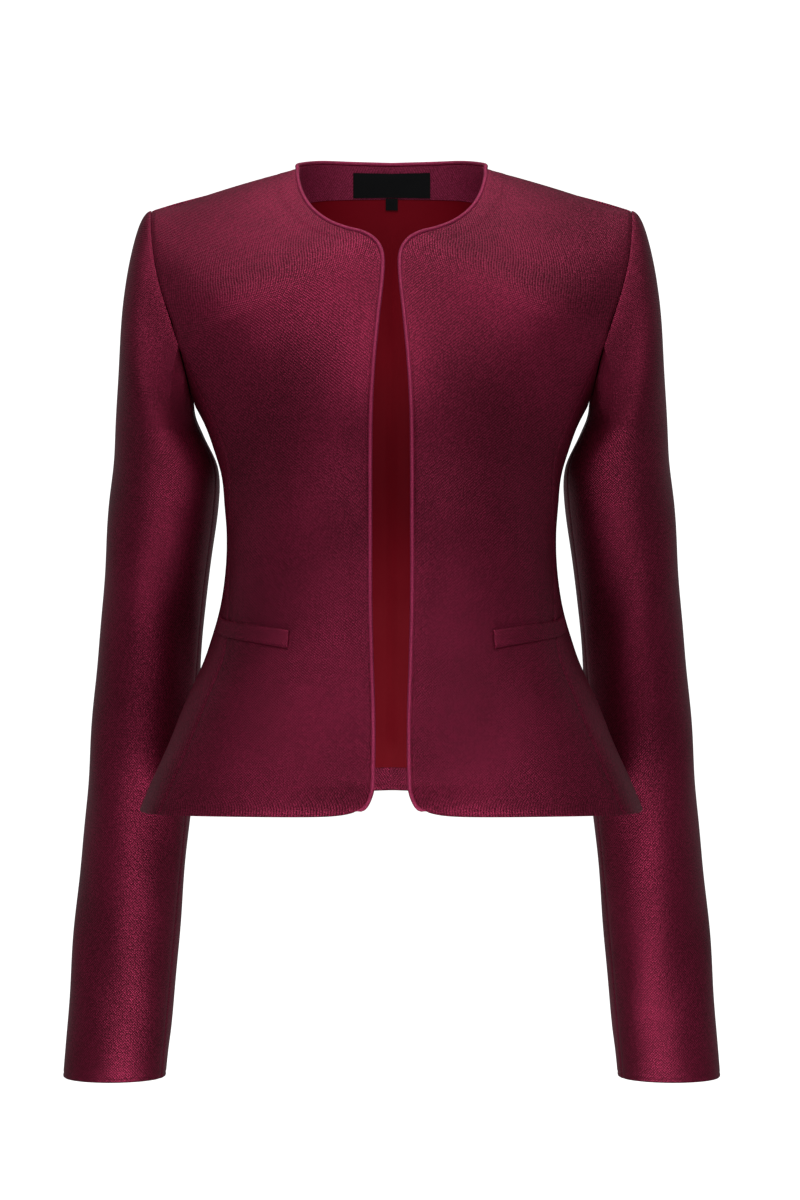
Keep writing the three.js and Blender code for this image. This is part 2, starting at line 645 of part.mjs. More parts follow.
// Woven label or tab: a patch of the back between two rows, as wide as its own size.
function buildPatch(patch, depth) {
  const middle = back.grid[0].length - 1;
  const grid = [];
  const normals = [];
  for (const r of [patch.topRow, (patch.topRow + patch.bottomRow) / 2, patch.bottomRow]) {
    let edge = middle;
    while (onPanel(back, r, edge).point.x < patch.width / 2) edge -= 0.01;
    const right = spread(edge, middle, PATCH_COLUMNS).map((c) => onPanel(back, r, c));
    right[PATCH_COLUMNS].point.x = 0;
    right[PATCH_COLUMNS].normal.setX(0).normalize();
    const left = right.slice(0, -1).reverse().map((spot) => ({
      point: spot.point.clone().setX(-spot.point.x),
      normal: spot.normal.clone().setX(-spot.normal.x),
    }));
    grid.push([...right, ...left].map((spot) => spot.point));
    normals.push([...right, ...left].map((spot) => spot.normal));
  }
  return wall(moved(grid, normals, -depth), moved(grid, normals, -depth - patch.cloth));
}

const jacket = new THREE.Group();

function add(name, geometry, finish) {
  const material = new THREE.MeshStandardMaterial(finish);
  const mesh = new THREE.Mesh(geometry, material);
  mesh.name = name;
  jacket.add(mesh);
}

function addPair(name, geometry, finish) {
  add(`${name}_right`, geometry, finish);
  add(`${name}_left`, mirrored(geometry), finish);
}

addPair('front', shell(front, CLOTH), CLOTH_FINISH);
addPair('side', shell(side, CLOTH), CLOTH_FINISH);
addPair('back', shell(back, CLOTH), CLOTH_FINISH);
addPair('sleeve_upper', shell(sleevePart(frontSleeveSeam, backSleeveSeam), CLOTH), CLOTH_FINISH);
addPair('sleeve_under', shell(sleevePart(backSleeveSeam, frontSleeveSeam), CLOTH), CLOTH_FINISH);
addPair('pocket_welt', buildWelt(), CLOTH_FINISH);
add('piping', buildPiping(), PIPING_FINISH);
addPair('back_neck_facing', buildFacing(), CLOTH_FINISH);
addPair('back_lining', buildLining(), LINING_FINISH);
add('neck_label', buildPatch(LABEL, facingDepth + FACING_CLOTH + SEAM_GAP), LABEL_FINISH);
add('size_tab', buildPatch(SIZE_TAB, facingDepth + FACING_CLOTH + SEAM_GAP), LABEL_FINISH);

export default jacket;
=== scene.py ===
"""A woman's fitted, collarless jacket in wine brocade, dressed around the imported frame.

Pattern tables are in millimetres, as a cutter gives them, and meshes are in metres. +X is the
viewer's right, +Y runs from the front of the jacket to its back, and +Z is up.
"""
import logging
import math
from dataclasses import dataclass, field
from enum import Enum

import bpy
import numpy as np
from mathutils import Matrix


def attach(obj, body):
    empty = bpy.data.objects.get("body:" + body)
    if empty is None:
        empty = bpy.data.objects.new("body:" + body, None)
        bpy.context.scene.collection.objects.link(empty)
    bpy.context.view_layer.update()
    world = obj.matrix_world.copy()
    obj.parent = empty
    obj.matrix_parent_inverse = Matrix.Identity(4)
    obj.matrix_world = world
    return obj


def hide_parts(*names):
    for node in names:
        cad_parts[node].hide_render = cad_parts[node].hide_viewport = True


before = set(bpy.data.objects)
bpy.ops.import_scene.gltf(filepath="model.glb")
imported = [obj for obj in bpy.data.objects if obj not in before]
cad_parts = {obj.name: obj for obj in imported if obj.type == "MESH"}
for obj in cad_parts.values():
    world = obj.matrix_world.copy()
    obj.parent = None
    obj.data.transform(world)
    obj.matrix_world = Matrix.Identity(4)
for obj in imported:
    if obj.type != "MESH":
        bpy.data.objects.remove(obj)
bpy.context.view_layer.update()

log = logging.getLogger("jacket")

MM = 0.001
CLOTH = 1.8             # wall of the interlined brocade
SEAM_GAP = 0.3          # daylight between two pieces at a seam
CENTRE_LAP = 0.05        # how far a half reaches over the centre back line, where its stitches close it
SLEEVE_GAP = 0.35       # daylight between the armhole and the sleeve head
NOTCH = 0.25            # station where the armhole ends and the side seams start
NECK_SHARE = 0.58       # share of the back's top edge taken up by the shoulder seam
UNDER_SLEEVE_SHARE = 1 / 3  # share of the underarm edge where the front sleeve seam lands
FACING_AT = 0.06        # station of the back where the neck facing ends
FACING_SHARE = 0.29     # share of the back where the neck facing starts
LINING_HEM_AT = 0.96    # station of the back where the lining ends
LINING_SHARE = 0.022    # share that the lining stays back from the side seams
INSIDE = CLOTH + SEAM_GAP  # depth of what lies inside the back, below its outer face

# Seam curves of the right half: station, x, y, z, and plan direction across the seam in degrees
FRONT_EDGE = np.array([
    (0.000, 77.0, 4, -2.6, 0), (0.035, 76.2, -7, -12, -4), (0.070, 72.8, -19, -24, -8),
    (0.105, 66.8, -31, -35.5, -10), (0.135, 58.8, -41, -44.5, -10), (0.165, 48.5, -50, -52, -8),
    (0.195, 35.0, -59, -58, -6), (0.215, 24.0, -64.5, -61.5, -5), (0.232, 15.6, -69, -66.5, -4),
    (0.245, 10.6, -73, -73, -3), (0.258, 8.3, -77.5, -81, -3), (0.290, 8.6, -85.5, -98, -4),
    (0.340, 11.6, -98.5, -127, -6), (0.400, 14.8, -111.5, -162, -7),
    (0.460, 16.8, -117.5, -197, -7), (0.520, 17.4, -115, -231, -5),
    (0.620, 17.6, -104, -289, -2), (0.720, 17.6, -105, -347, -1), (0.800, 16.6, -109.5, -393, 0),
    (0.880, 15.2, -114.5, -439, 0), (0.965, 15.6, -119.5, -489, 0),
    (0.978, 17.0, -120.2, -497, 0), (0.989, 21.0, -120.7, -505, 0), (1.000, 28.5, -121, -510, 0)])
FRONT_ARMHOLE = np.array([
    (0.00, 192.0, 2, -36, 0), (0.03, 191.6, -8, -44, 5), (0.07, 190.2, -20, -60, 12),
    (0.11, 187.2, -32, -80, 20), (0.16, 181.2, -44, -104, 30), (0.21, 173.0, -53, -129, 41),
    (0.25, 166.0, -58, -150, 50)])
SIDE_FRONT_SEAM = np.array([
    (0.25, 166.0, -58, -150, 50), (0.31, 153.5, -56, -179, 55), (0.37, 139.0, -57, -208, 52),
    (0.43, 128.0, -58, -237, 52), (0.49, 126.5, -52, -266, 58), (0.55, 127.5, -40, -295, 69),
    (0.64, 128.0, -46, -338, 65), (0.74, 129.5, -67, -387, 48), (0.82, 143.5, -73, -426, 45),
    (0.91, 161.0, -78, -470, 42), (1.00, 179.5, -83, -513.4, 40)])
SIDE_BACK_SEAM = np.array([
    (0.25, 169.0, 57, -147, 124), (0.34, 144.0, 46, -192, 128), (0.43, 125.0, 46, -235, 129),
    (0.55, 109.0, 43, -293, 135), (0.66, 111.5, 45, -347, 134), (0.74, 121.0, 49, -385, 134),
    (0.86, 140.0, 50, -440, 134), (1.00, 164.0, 52, -511, 135)])
BACK_ARMHOLE = np.array([
    (0.00, 192.0, 2, -36, 180), (0.03, 191.8, 12, -43, 174), (0.07, 190.8, 25, -60, 166),
    (0.11, 188.4, 36, -80, 158), (0.16, 183.4, 46, -104, 146), (0.21, 176.0, 53, -127, 134),
    (0.25, 169.0, 57, -147, 124)])
CENTRE_BACK = np.array([
    (0.00, 0, 62, 7, 180), (0.10, 0, 75, -36, 180), (0.18, 0, 87, -76, 180),
    (0.25, 0, 94, -112, 180), (0.34, 0, 99, -163, 180), (0.43, 0, 96, -215, 180),
    (0.55, 0, 83, -285, 180), (0.66, 0, 87, -343, 180), (0.74, 0, 95, -382, 180),
    (0.86, 0, 106, -440, 180), (1.00, 0, 115, -506, 180)])
BACK_NECK = np.array([
    (0.0, 77.0, 4, -2.6), (0.2, 74.0, 19, 1.5), (0.45, 58.0, 41.5, 6), (0.7, 33.0, 56.5, 7.2),
    (1.0, 0.0, 62, 7)])
UNDERARM = np.array([
    (0.00, 166.0, -58, -150), (0.18, 161.0, -45, -172), (0.36, 158.4, -23, -187),
    (0.52, 157.6, 0, -192), (0.68, 159.0, 23, -187), (0.84, 163.0, 43, -170),
    (1.00, 169.0, 57, -147)])
# Sleeve below the cap: depth below the origin, centre x and y, half width and half depth
SLEEVE_TUBE = np.array([
    (214, 186.3, 11, 35.2, 56), (240, 182.0, 25, 42.5, 54), (270, 184.3, 39, 44.2, 52),
    (348, 194.0, 63, 42.8, 49), (420, 201.5, 78, 43.4, 47), (512, 209.0, 85, 43.8, 44),
    (620, 218.5, 82, 43.0, 41), (739, 228.0, 73, 42.2, 38)])
# Sleeve head: degrees round from the shoulder tip, then parts of its reach out, swell and down
SLEEVE_HEAD = np.array([
    (0, 0.36, 0.00, 0.09), (60, 0.30, 0.12, 0.34), (110, 0.26, 0.14, 0.60),
    (150, 0.08, 0.04, 0.90), (180, 0.02, 0.00, 1.00)])


def hermite(a: np.ndarray, from_a: np.ndarray, b: np.ndarray, into_b: np.ndarray,
            t: np.ndarray) -> np.ndarray:
    """Cubic curve from a to b with the given slopes at its ends.

    Args:
        a: Start values.
        from_a: Slopes leaving the start.
        b: End values.
        into_b: Slopes arriving at the end.
        t: Shares of the way, from 0 to 1.

    Returns:
        The values on the curve.
    """
    t2, t3 = t * t, t * t * t
    return ((2 * t3 - 3 * t2 + 1) * a + (t3 - 2 * t2 + t) * from_a
            + (3 * t2 - 2 * t3) * b + (t3 - t2) * into_b)


def along(table: np.ndarray, column: int, at: np.ndarray) -> np.ndarray:
    """Value of one column of a table, on a smooth curve through its rows.

    Args:
        table: Rows whose first column rises.
        column: The column asked for.
        at: Places along the first column.

    Returns:
        The values, shaped as at.
    """
    keys, values = table[:, 0], table[:, column]
    slopes = np.gradient(values, edge_order=1)
    slopes[1:-1] = (values[2:] - values[:-2]) / (keys[2:] - keys[:-2])
    slopes[0] = (values[1] - values[0]) / (keys[1] - keys[0])
    slopes[-1] = (values[-1] - values[-2]) / (keys[-1] - keys[-2])
    i = np.clip(np.searchsorted(keys, at, side="right") - 1, 0, len(keys) - 2)
    span = keys[i + 1] - keys[i]
    t = np.clip((at - keys[i]) / span, 0, 1)
    return hermite(values[i], slopes[i] * span, values[i + 1], slopes[i + 1] * span, t)


def place(table: np.ndarray, at: np.ndarray) -> np.ndarray:
    """Points of a table's curve, with x, y and z in the last axis."""
    return np.stack([along(table, column, at) for column in (1, 2, 3)], axis=-1)


def unit(vectors: np.ndarray) -> np.ndarray:
    """The same directions at length one."""
    return vectors / np.maximum(np.linalg.norm(vectors, axis=-1, keepdims=True), 1e-9)


def ease(t: np.ndarray) -> np.ndarray:
    """Smooth step from 0 to 1."""
    c = np.clip(t, 0, 1)
    return c * c * (3 - 2 * c)


def dip(distance: np.ndarray, depth: float, spread: float) -> np.ndarray:
    """Soft groove of the given depth at distance nought."""
    return -depth * np.exp(-(distance / spread) ** 2)


def seam(table: np.ndarray, at: np.ndarray) -> tuple[np.ndarray, np.ndarray]:
    """Places on a seam, and the plan direction of the cloth across it."""
    turn = np.radians(along(table, 4, at))
    return place(table, at), np.stack([np.cos(turn), np.sin(turn), 0 * turn], axis=-1)


def outer_seam(upper: np.ndarray, lower: np.ndarray, at: np.ndarray) -> tuple[np.ndarray, np.ndarray]:
    """The armhole above the notch, and the long seam below it."""
    above = (at <= NOTCH)[..., None]
    high, low = seam(upper, at), seam(lower, at)
    return np.where(above, high[0], low[0]), np.where(above, high[1], low[1])


def row_point(start: tuple, end: tuple, share: np.ndarray, z_share: np.ndarray) -> np.ndarray:
    """Points of a row of cloth from seam to seam, as a smooth arc in plan.

    Args:
        start: Places and directions on the first seam.
        end: Places and directions on the last seam.
        share: Shares of the way across.
        z_share: Shares of the way down from one seam to the other.

    Returns:
        The points.
    """
    (a, across_a), (b, across_b) = start, end
    chord = np.linalg.norm((b - a)[..., :2], axis=-1, keepdims=True)
    points = hermite(a, across_a * chord, b, across_b * chord, share[..., None])
    points[..., 2] = a[..., 2] + (b[..., 2] - a[..., 2]) * z_share
    return points


def front_surface(share: np.ndarray, at: np.ndarray) -> np.ndarray:
    """Outer face of the front: share 0 is the neck and front edge, 1 the armhole and side seam."""
    corner = 1 + 14 * ease((at - 0.95) / 0.05)
    z_share = 1 - (1 - np.clip(share, 0, 1)) ** corner
    return row_point(seam(FRONT_EDGE, at), outer_seam(FRONT_ARMHOLE, SIDE_FRONT_SEAM, at), share, z_share)


def side_surface(share: np.ndarray, at: np.ndarray) -> np.ndarray:
    """Outer face of the side panel: share 0 is the front seam, 1 the back seam."""
    points = row_point(seam(SIDE_FRONT_SEAM, at), seam(SIDE_BACK_SEAM, at), share, share)
    start = np.full_like(at, NOTCH)
    top = row_point(seam(SIDE_FRONT_SEAM, start), seam(SIDE_BACK_SEAM, start), share, share)
    fade = np.maximum(1 - (at - NOTCH) / 0.38, 0) ** 2
    return points + (place(UNDERARM, share) - top) * fade[..., None]


def back_surface(share: np.ndarray, at: np.ndarray) -> np.ndarray:
    """Outer face of the back: share 0 is the armhole and side seam, 1 the centre back."""
    points = row_point(outer_seam(BACK_ARMHOLE, SIDE_BACK_SEAM, at), seam(CENTRE_BACK, at), share, share)
    start = np.zeros_like(at)
    top = row_point(seam(BACK_ARMHOLE, start), seam(CENTRE_BACK, start), share, share)
    fade = np.maximum(1 - at / 0.34, 0) ** 2
    return points + (back_top_edge(share) - top) * fade[..., None]


def back_top_edge(share: np.ndarray) -> np.ndarray:
    """The shoulder seam from its tip to the neck, then the back neck to its centre."""
    tip, neck = FRONT_ARMHOLE[0, 1:4], FRONT_EDGE[0, 1:4]
    shoulder = tip + (neck - tip) * np.clip(share / NECK_SHARE, 0, 1)[..., None]
    round_neck = place(BACK_NECK, np.clip((share - NECK_SHARE) / (1 - NECK_SHARE), 0, 1))
    return np.where((share <= NECK_SHARE)[..., None], shoulder, round_neck)


def grid_normals(points: np.ndarray, closed: bool = False) -> np.ndarray:
    """Outward normals of a grid, from its own neighbours.

    Args:
        points: Rows and columns of points.
        closed: Whether the last column meets the first.

    Returns:
        One normal for each point.
    """
    down = np.empty_like(points)
    down[1:-1] = unit(points[2:] - points[1:-1]) + unit(points[1:-1] - points[:-2])
    down[0], down[-1] = points[1] - points[0], points[-1] - points[-2]
    across = np.empty_like(points)
    across[:, 1:-1] = unit(points[:, 2:] - points[:, 1:-1]) + unit(points[:, 1:-1] - points[:, :-2])
    across[:, 0], across[:, -1] = points[:, 1] - points[:, 0], points[:, -1] - points[:, -2]
    if closed:
        across[:, 0] = across[:, -1] = points[:, 1] - points[:, -2]
    return unit(np.cross(unit(down), unit(across)))


def running_length(points: np.ndarray, axis: int) -> np.ndarray:
    """Length run along a grid's rows (axis 1) or columns (axis 0), from nought."""
    steps = np.linalg.norm(np.diff(points, axis=axis), axis=-1)
    nought = np.zeros((points.shape[0], 1) if axis == 1 else (1, points.shape[1]))
    return np.concatenate([nought, np.cumsum(steps, axis=axis)], axis=axis)


def edge_lines(length: float, step: float, close: tuple[float, ...]) -> np.ndarray:
    """Distances of grid lines along a length, close together at both its ends.

    Args:
        length: The whole length in mm.
        step: Spacing of the lines between the ends.
        close: Distances of the close lines from each end.

    Returns:
        The distances, rising from 0 to length.
    """
    count = max(int(round((length - 2 * close[-1]) / step)), 2)
    middle = np.linspace(close[-1], length - close[-1], count + 1)[1:-1]
    near = np.array(close)
    return np.concatenate([near, middle, (length - near)[::-1]])


SEAM_LINES = (0, 0.5, 1.0, 1.6, 2.3, 3.2, 4.4, 6.0, 8.0, 9.6, 10.8, 12.0, 13.4, 15.5)
HEM_LINES = (0, 0.6, 1.3, 2.0, 2.7, 3.4, 4.2, 5.5, 7.5, 10.0)


@dataclass
class Cloth:
    """A grid of outer points of one piece of cloth, in mm, with its lengths and normals."""

    points: np.ndarray
    normals: np.ndarray = field(init=False)
    across: np.ndarray = field(init=False)
    down: np.ndarray = field(init=False)

    def __post_init__(self) -> None:
        """Measures the grid."""
        self.normals = grid_normals(self.points)
        self.across = running_length(self.points, 1)
        self.down = running_length(self.points, 0)

    @property
    def from_last(self) -> np.ndarray:
        """Distances from the last column's seam."""
        return self.across[:, -1:] - self.across

    @property
    def from_hem(self) -> np.ndarray:
        """Distances from the last row."""
        return self.down[-1:] - self.down

    def lifted(self, distance: np.ndarray) -> np.ndarray:
        """The points moved outwards along the normals."""
        return self.points + self.normals * np.broadcast_to(distance, self.across.shape)[..., None]

    def grain(self) -> np.ndarray:
        """Flat places of the points on the bolt, in metres: across, and down its middle column."""
        middle = self.down[:, self.down.shape[1] // 2][:, None]
        return np.stack([self.across, np.broadcast_to(middle, self.across.shape)], axis=-1) * MM


def wave_field(u: np.ndarray, v: np.ndarray, waves: tuple[tuple[float, float, float, float], ...]) -> np.ndarray:
    """Soft unevenness of hanging cloth, as a sum of long waves.

    Args:
        u: Distances across in mm.
        v: Distances down in mm.
        waves: For each wave its length across and down in mm, its phase and its height in mm.

    Returns:
        Heights in mm.
    """
    total = np.zeros(np.broadcast(u, v).shape)
    for across, down, phase, height in waves:
        total = total + height * np.sin(2 * math.pi * (u / across + v / down) + phase)
    return total


class Half(Enum):
    """Half of the jacket that a piece belongs to, as the viewer sees it."""

    RIGHT = "right"
    LEFT = "left"

    @property
    def sign(self) -> int:
        """Sign of x on this half."""
        return 1 if self is Half.RIGHT else -1


class Slot(Enum):
    """Kinds of material in the jacket."""

    BROCADE = "brocade"
    PIPING = "piping"
    LINING = "satin_lining"
    LABEL = "woven_label"


@dataclass(frozen=True)
class Sheet:
    """Flat cut of a piece before it was sewn in, in metres."""

    width: float
    length: float
    area: float
    held: str = "stretched"
    rests_on: tuple[str, ...] = ()


def select_only(obj: bpy.types.Object) -> None:
    """Leaves one object selected and active."""
    bpy.ops.object.select_all(action="DESELECT")
    obj.select_set(True)
    bpy.context.view_layer.objects.active = obj


def make_object(name: str, vertices: np.ndarray, faces: list[tuple[int, ...]], flat: np.ndarray,
                finishes: list[bpy.types.Material], slots: list[int], angle: float) -> bpy.types.Object:
    """Makes a mesh object with a flat map of its cloth.

    Args:
        name: Name of the piece.
        vertices: Places in mm.
        faces: Corners of each face.
        flat: Place on the bolt of each vertex, in metres.
        finishes: Materials of the piece.
        slots: Material of each face.
        angle: Angle in degrees past which an edge shows as a fold.

    Returns:
        The new object, smooth and at the origin.
    """
    mesh = bpy.data.meshes.new(name)
    mesh.from_pydata((vertices * MM).tolist(), [], faces)
    for finish in finishes:
        mesh.materials.append(finish)
    mesh.polygons.foreach_set("material_index", slots)
    corners = np.empty(len(mesh.loops), np.int32)
    mesh.loops.foreach_get("vertex_index", corners)
    layer = mesh.uv_layers.new(name="bolt")
    layer.data.foreach_set("uv", flat[corners].astype(np.float32).ravel())
    mesh.update()
    obj = bpy.data.objects.new(name, mesh)
    bpy.context.collection.objects.link(obj)
    select_only(obj)
    bpy.ops.object.shade_smooth_by_angle(angle=math.radians(angle))
    return obj


@dataclass
class Wall:
    """A closed wall of cloth between an outer grid and an inner one."""

    name: str
    outer: np.ndarray
    inner: np.ndarray
    flat: np.ndarray
    finishes: list[bpy.types.Material]
    roll: tuple[float, float, float, float] = (0, 0, 0, 0)  # bulge of the top, last, hem and first edges
    back_finish: int = 1
    turned_up: int = 0      # rows at the hem where the cloth's own face is turned to the inside

    def build(self, half: Half) -> bpy.types.Object:
        """Builds the wall on one half of the jacket.

        Args:
            half: The half that it lies on.

        Returns:
            The finished object.
        """
        rows, columns = self.outer.shape[:2]
        count = rows * columns
        edge = ([(r, 0) for r in range(rows)] + [(rows - 1, c) for c in range(1, columns)]
                + [(r, columns - 1) for r in range(rows - 2, -1, -1)]
                + [(0, c) for c in range(columns - 2, 0, -1)])
        middle = np.array([self._edge_middle(r, c) for r, c in edge])
        vertices = np.concatenate([self.outer.reshape(-1, 3), self.inner.reshape(-1, 3), middle])
        flat = self.flat.reshape(-1, 2)
        spots = np.array([r * columns + c for r, c in edge])
        flat = np.concatenate([flat, flat, flat[spots]])
        cells = np.arange(count).reshape(rows, columns)
        a, b, c, d = cells[:-1, :-1], cells[1:, :-1], cells[1:, 1:], cells[:-1, 1:]
        outside = np.stack([a, b, c, d], axis=-1).reshape(-1, 4)
        inside = outside[:, ::-1] + count
        here = np.arange(len(edge))
        after = (here + 1) % len(edge)
        rim_out = np.stack([spots[after], spots[here], 2 * count + here, 2 * count + after], axis=-1)
        rim_in = np.stack([2 * count + after, 2 * count + here, count + spots[here],
                           count + spots[after]], axis=-1)
        faces = np.concatenate([outside, inside, rim_out, rim_in])
        if half is Half.LEFT:
            vertices = vertices * np.array([-1, 1, 1])
            flat = flat * np.array([-1, 1])
            faces = faces[:, ::-1]
        back = np.full((rows - 1, columns - 1), self.back_finish)
        if self.turned_up:
            back[-self.turned_up:] = 0
        slots = [0] * len(outside) + back.ravel().tolist() + [0] * (2 * len(edge))
        return make_object(self.name, vertices, faces.tolist(), flat, self.finishes, slots, 55)

    def _edge_middle(self, r: int, c: int) -> np.ndarray:
        """Middle of the rim at one edge point, bulged outwards where the cloth is folded."""
        rows, columns = self.outer.shape[:2]
        point = (self.outer[r, c] + self.inner[r, c]) / 2
        ways = ((r == 0, (1, c), 0), (c == columns - 1, (r, columns - 2), 1),
                (r == rows - 1, (rows - 2, c), 2), (c == 0, (r, 1), 3))
        for on_edge, (nr, nc), side in ways:
            if on_edge and self.roll[side]:
                point = point + unit(self.outer[r, c] - self.outer[nr, nc]) * self.roll[side]
        return point


def shell(name: str, cloth: Cloth, lift: np.ndarray, thickness: float,
          finishes: list[bpy.types.Material], to_centre: bool = False, **options: object) -> Wall:
    """Wall of one thickness below a cloth's lifted face.

    Args:
        name: Name of the piece.
        cloth: The cloth's grid.
        lift: Height of its face over the grid, in mm.
        thickness: Thickness in mm.
        finishes: Face and back materials.
        to_centre: Whether its last column is sewn to the other half at the centre back.
        options: Further fields of Wall.

    Returns:
        The wall.
    """
    lift = np.broadcast_to(lift, cloth.across.shape)
    outer, inner = cloth.lifted(lift), cloth.lifted(lift - thickness)
    if to_centre:
        outer[:, -1, 0] = inner[:, -1, 0] = -CENTRE_LAP
    return Wall(name, outer, inner, cloth.grain(), finishes, **options)


def sew_in(obj: bpy.types.Object, node: str) -> bpy.types.Object:
    """Ties a piece to the frame, hides the CAD part that it stands for, and logs its face count.

    Args:
        obj: The piece.
        node: CAD node that it stands for.

    Returns:
        The same piece.
    """
    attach(obj, "root")
    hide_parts(node)
    log.info("%s: %d faces", obj.name, len(obj.data.polygons))
    return obj


class NodeSheet:
    """Short way of wiring one node tree."""

    def __init__(self, tree: bpy.types.NodeTree) -> None:
        """Starts with an existing tree."""
        self.tree = tree

    def add(self, kind: str, inputs: dict | None = None, **settings: object) -> bpy.types.Node:
        """Adds a node.

        Args:
            kind: Blender's name of the node type.
            inputs: Values or output sockets for its inputs, by name or number.
            settings: Properties of the node.

        Returns:
            The node.
        """
        node = self.tree.nodes.new(kind)
        for key, value in settings.items():
            setattr(node, key, value)
        for key, value in (inputs or {}).items():
            if isinstance(value, bpy.types.NodeSocket):
                self.tree.links.new(value, node.inputs[key])
            else:
                node.inputs[key].default_value = value
        return node

    def math(self, operation: str, first: object, second: object = 0.0) -> bpy.types.NodeSocket:
        """Result of a sum on two values."""
        return self.add("ShaderNodeMath", {0: first, 1: second}, operation=operation).outputs[0]


def build_weave_group() -> bpy.types.NodeTree:
    """Staggered pebble weave of a brocade, as a node group.

    Returns:
        A group that turns places on the bolt into the weave's height, its light floats, and a
        slow drift of the yarn's tone.
    """
    group = bpy.data.node_groups.new("pebble_weave", "ShaderNodeTree")
    face = group.interface
    face.new_socket("Bolt", in_out="INPUT", socket_type="NodeSocketVector")
    for name, default in (("Cell", 2.2), ("Unevenness", 0.3)):
        face.new_socket(name, in_out="INPUT", socket_type="NodeSocketFloat").default_value = default
    for name in ("Height", "Floats", "Drift", "Slub"):
        face.new_socket(name, in_out="OUTPUT", socket_type="NodeSocketFloat")
    sheet = NodeSheet(group)
    given = sheet.add("NodeGroupInput").outputs
    per_metre = sheet.math("DIVIDE", 1000 / math.sqrt(0.5), given["Cell"])
    scaled = sheet.add("ShaderNodeVectorMath", {0: given["Bolt"], "Scale": per_metre}, operation="SCALE")
    turned = sheet.add("ShaderNodeMapping", {"Vector": scaled.outputs[0], "Rotation": (0, 0, math.pi / 4)})
    pebble = sheet.add("ShaderNodeTexVoronoi", {"Vector": turned.outputs[0], "Scale": 1.0,
                                                "Randomness": given["Unevenness"]},
                       voronoi_dimensions="2D", feature="F1")
    height = sheet.add("ShaderNodeMapRange", {0: pebble.outputs["Distance"], 1: 0.12, 2: 0.68, 3: 1.0, 4: 0.0},
                       interpolation_type="SMOOTHSTEP")
    yarn = sheet.add("ShaderNodeMapping", {"Vector": given["Bolt"], "Scale": (420, 3100, 1)})
    slub = sheet.add("ShaderNodeTexNoise", {"Vector": yarn.outputs[0], "Scale": 1.0, "Detail": 2.0},
                     noise_dimensions="2D")
    tone = sheet.add("ShaderNodeTexNoise", {"Vector": given["Bolt"], "Scale": 11.0, "Detail": 3.0},
                     noise_dimensions="2D")
    cell_tone = sheet.add("ShaderNodeSeparateColor", {0: pebble.outputs["Color"]})
    floats = sheet.math("MULTIPLY", height.outputs[0], sheet.math(
        "ADD", sheet.math("MULTIPLY", cell_tone.outputs[0], 0.5), 0.5))
    raised = sheet.math("ADD", height.outputs[0], sheet.math("MULTIPLY", slub.outputs[0], 0.35))
    out = sheet.add("NodeGroupOutput")
    for name, socket in (("Height", raised), ("Floats", floats), ("Drift", tone.outputs[0]),
                         ("Slub", slub.outputs[0])):
        group.links.new(socket, out.inputs[name])
    return group


@dataclass(frozen=True)
class Brocade:
    """Satin-faced brocade with a staggered pebble weave."""

    name: str
    ground: tuple[float, float, float]
    floats: tuple[float, float, float]
    roughness: tuple[float, float] = (0.48, 0.36)
    metallic: float = 0.8
    cell: float = 2.2
    relief: float = 0.00019
    sheen: float = 0.0

    def material(self, weave: bpy.types.NodeTree) -> bpy.types.Material:
        """Makes the material.

        Args:
            weave: The weave's node group.

        Returns:
            The material, reading the piece's bolt map.
        """
        made = bpy.data.materials.new(self.name)
        made.use_nodes = True
        made.node_tree.nodes.clear()
        sheet = NodeSheet(made.node_tree)
        bolt = sheet.add("ShaderNodeUVMap", uv_map="bolt").outputs[0]
        group = sheet.add("ShaderNodeGroup", node_tree=weave)
        made.node_tree.links.new(bolt, group.inputs["Bolt"])
        group.inputs["Cell"].default_value = self.cell
        amount = sheet.math("ADD", group.outputs["Floats"],
                            sheet.math("MULTIPLY", sheet.math("SUBTRACT", group.outputs["Drift"], 0.5), 0.5))
        colour = sheet.add("ShaderNodeMix", {0: amount, 6: (*self.ground, 1), 7: (*self.floats, 1)},
                           data_type="RGBA", clamp_factor=True)
        rough = sheet.add("ShaderNodeMapRange", {0: group.outputs["Height"], 3: self.roughness[0],
                                                 4: self.roughness[1]})
        bump = sheet.add("ShaderNodeBump", {"Height": group.outputs["Height"], "Distance": self.relief,
                                            "Strength": 1.0})
        shader = sheet.add("ShaderNodeBsdfPrincipled", {
            "Base Color": colour.outputs[2], "Roughness": rough.outputs[0],
            "Normal": bump.outputs[0], "Metallic": self.metallic, "Sheen Weight": self.sheen,
            "Sheen Roughness": 0.4, "Specular IOR Level": 0.2})
        out = sheet.add("ShaderNodeOutputMaterial")
        made.node_tree.links.new(shader.outputs[0], out.inputs[0])
        return made


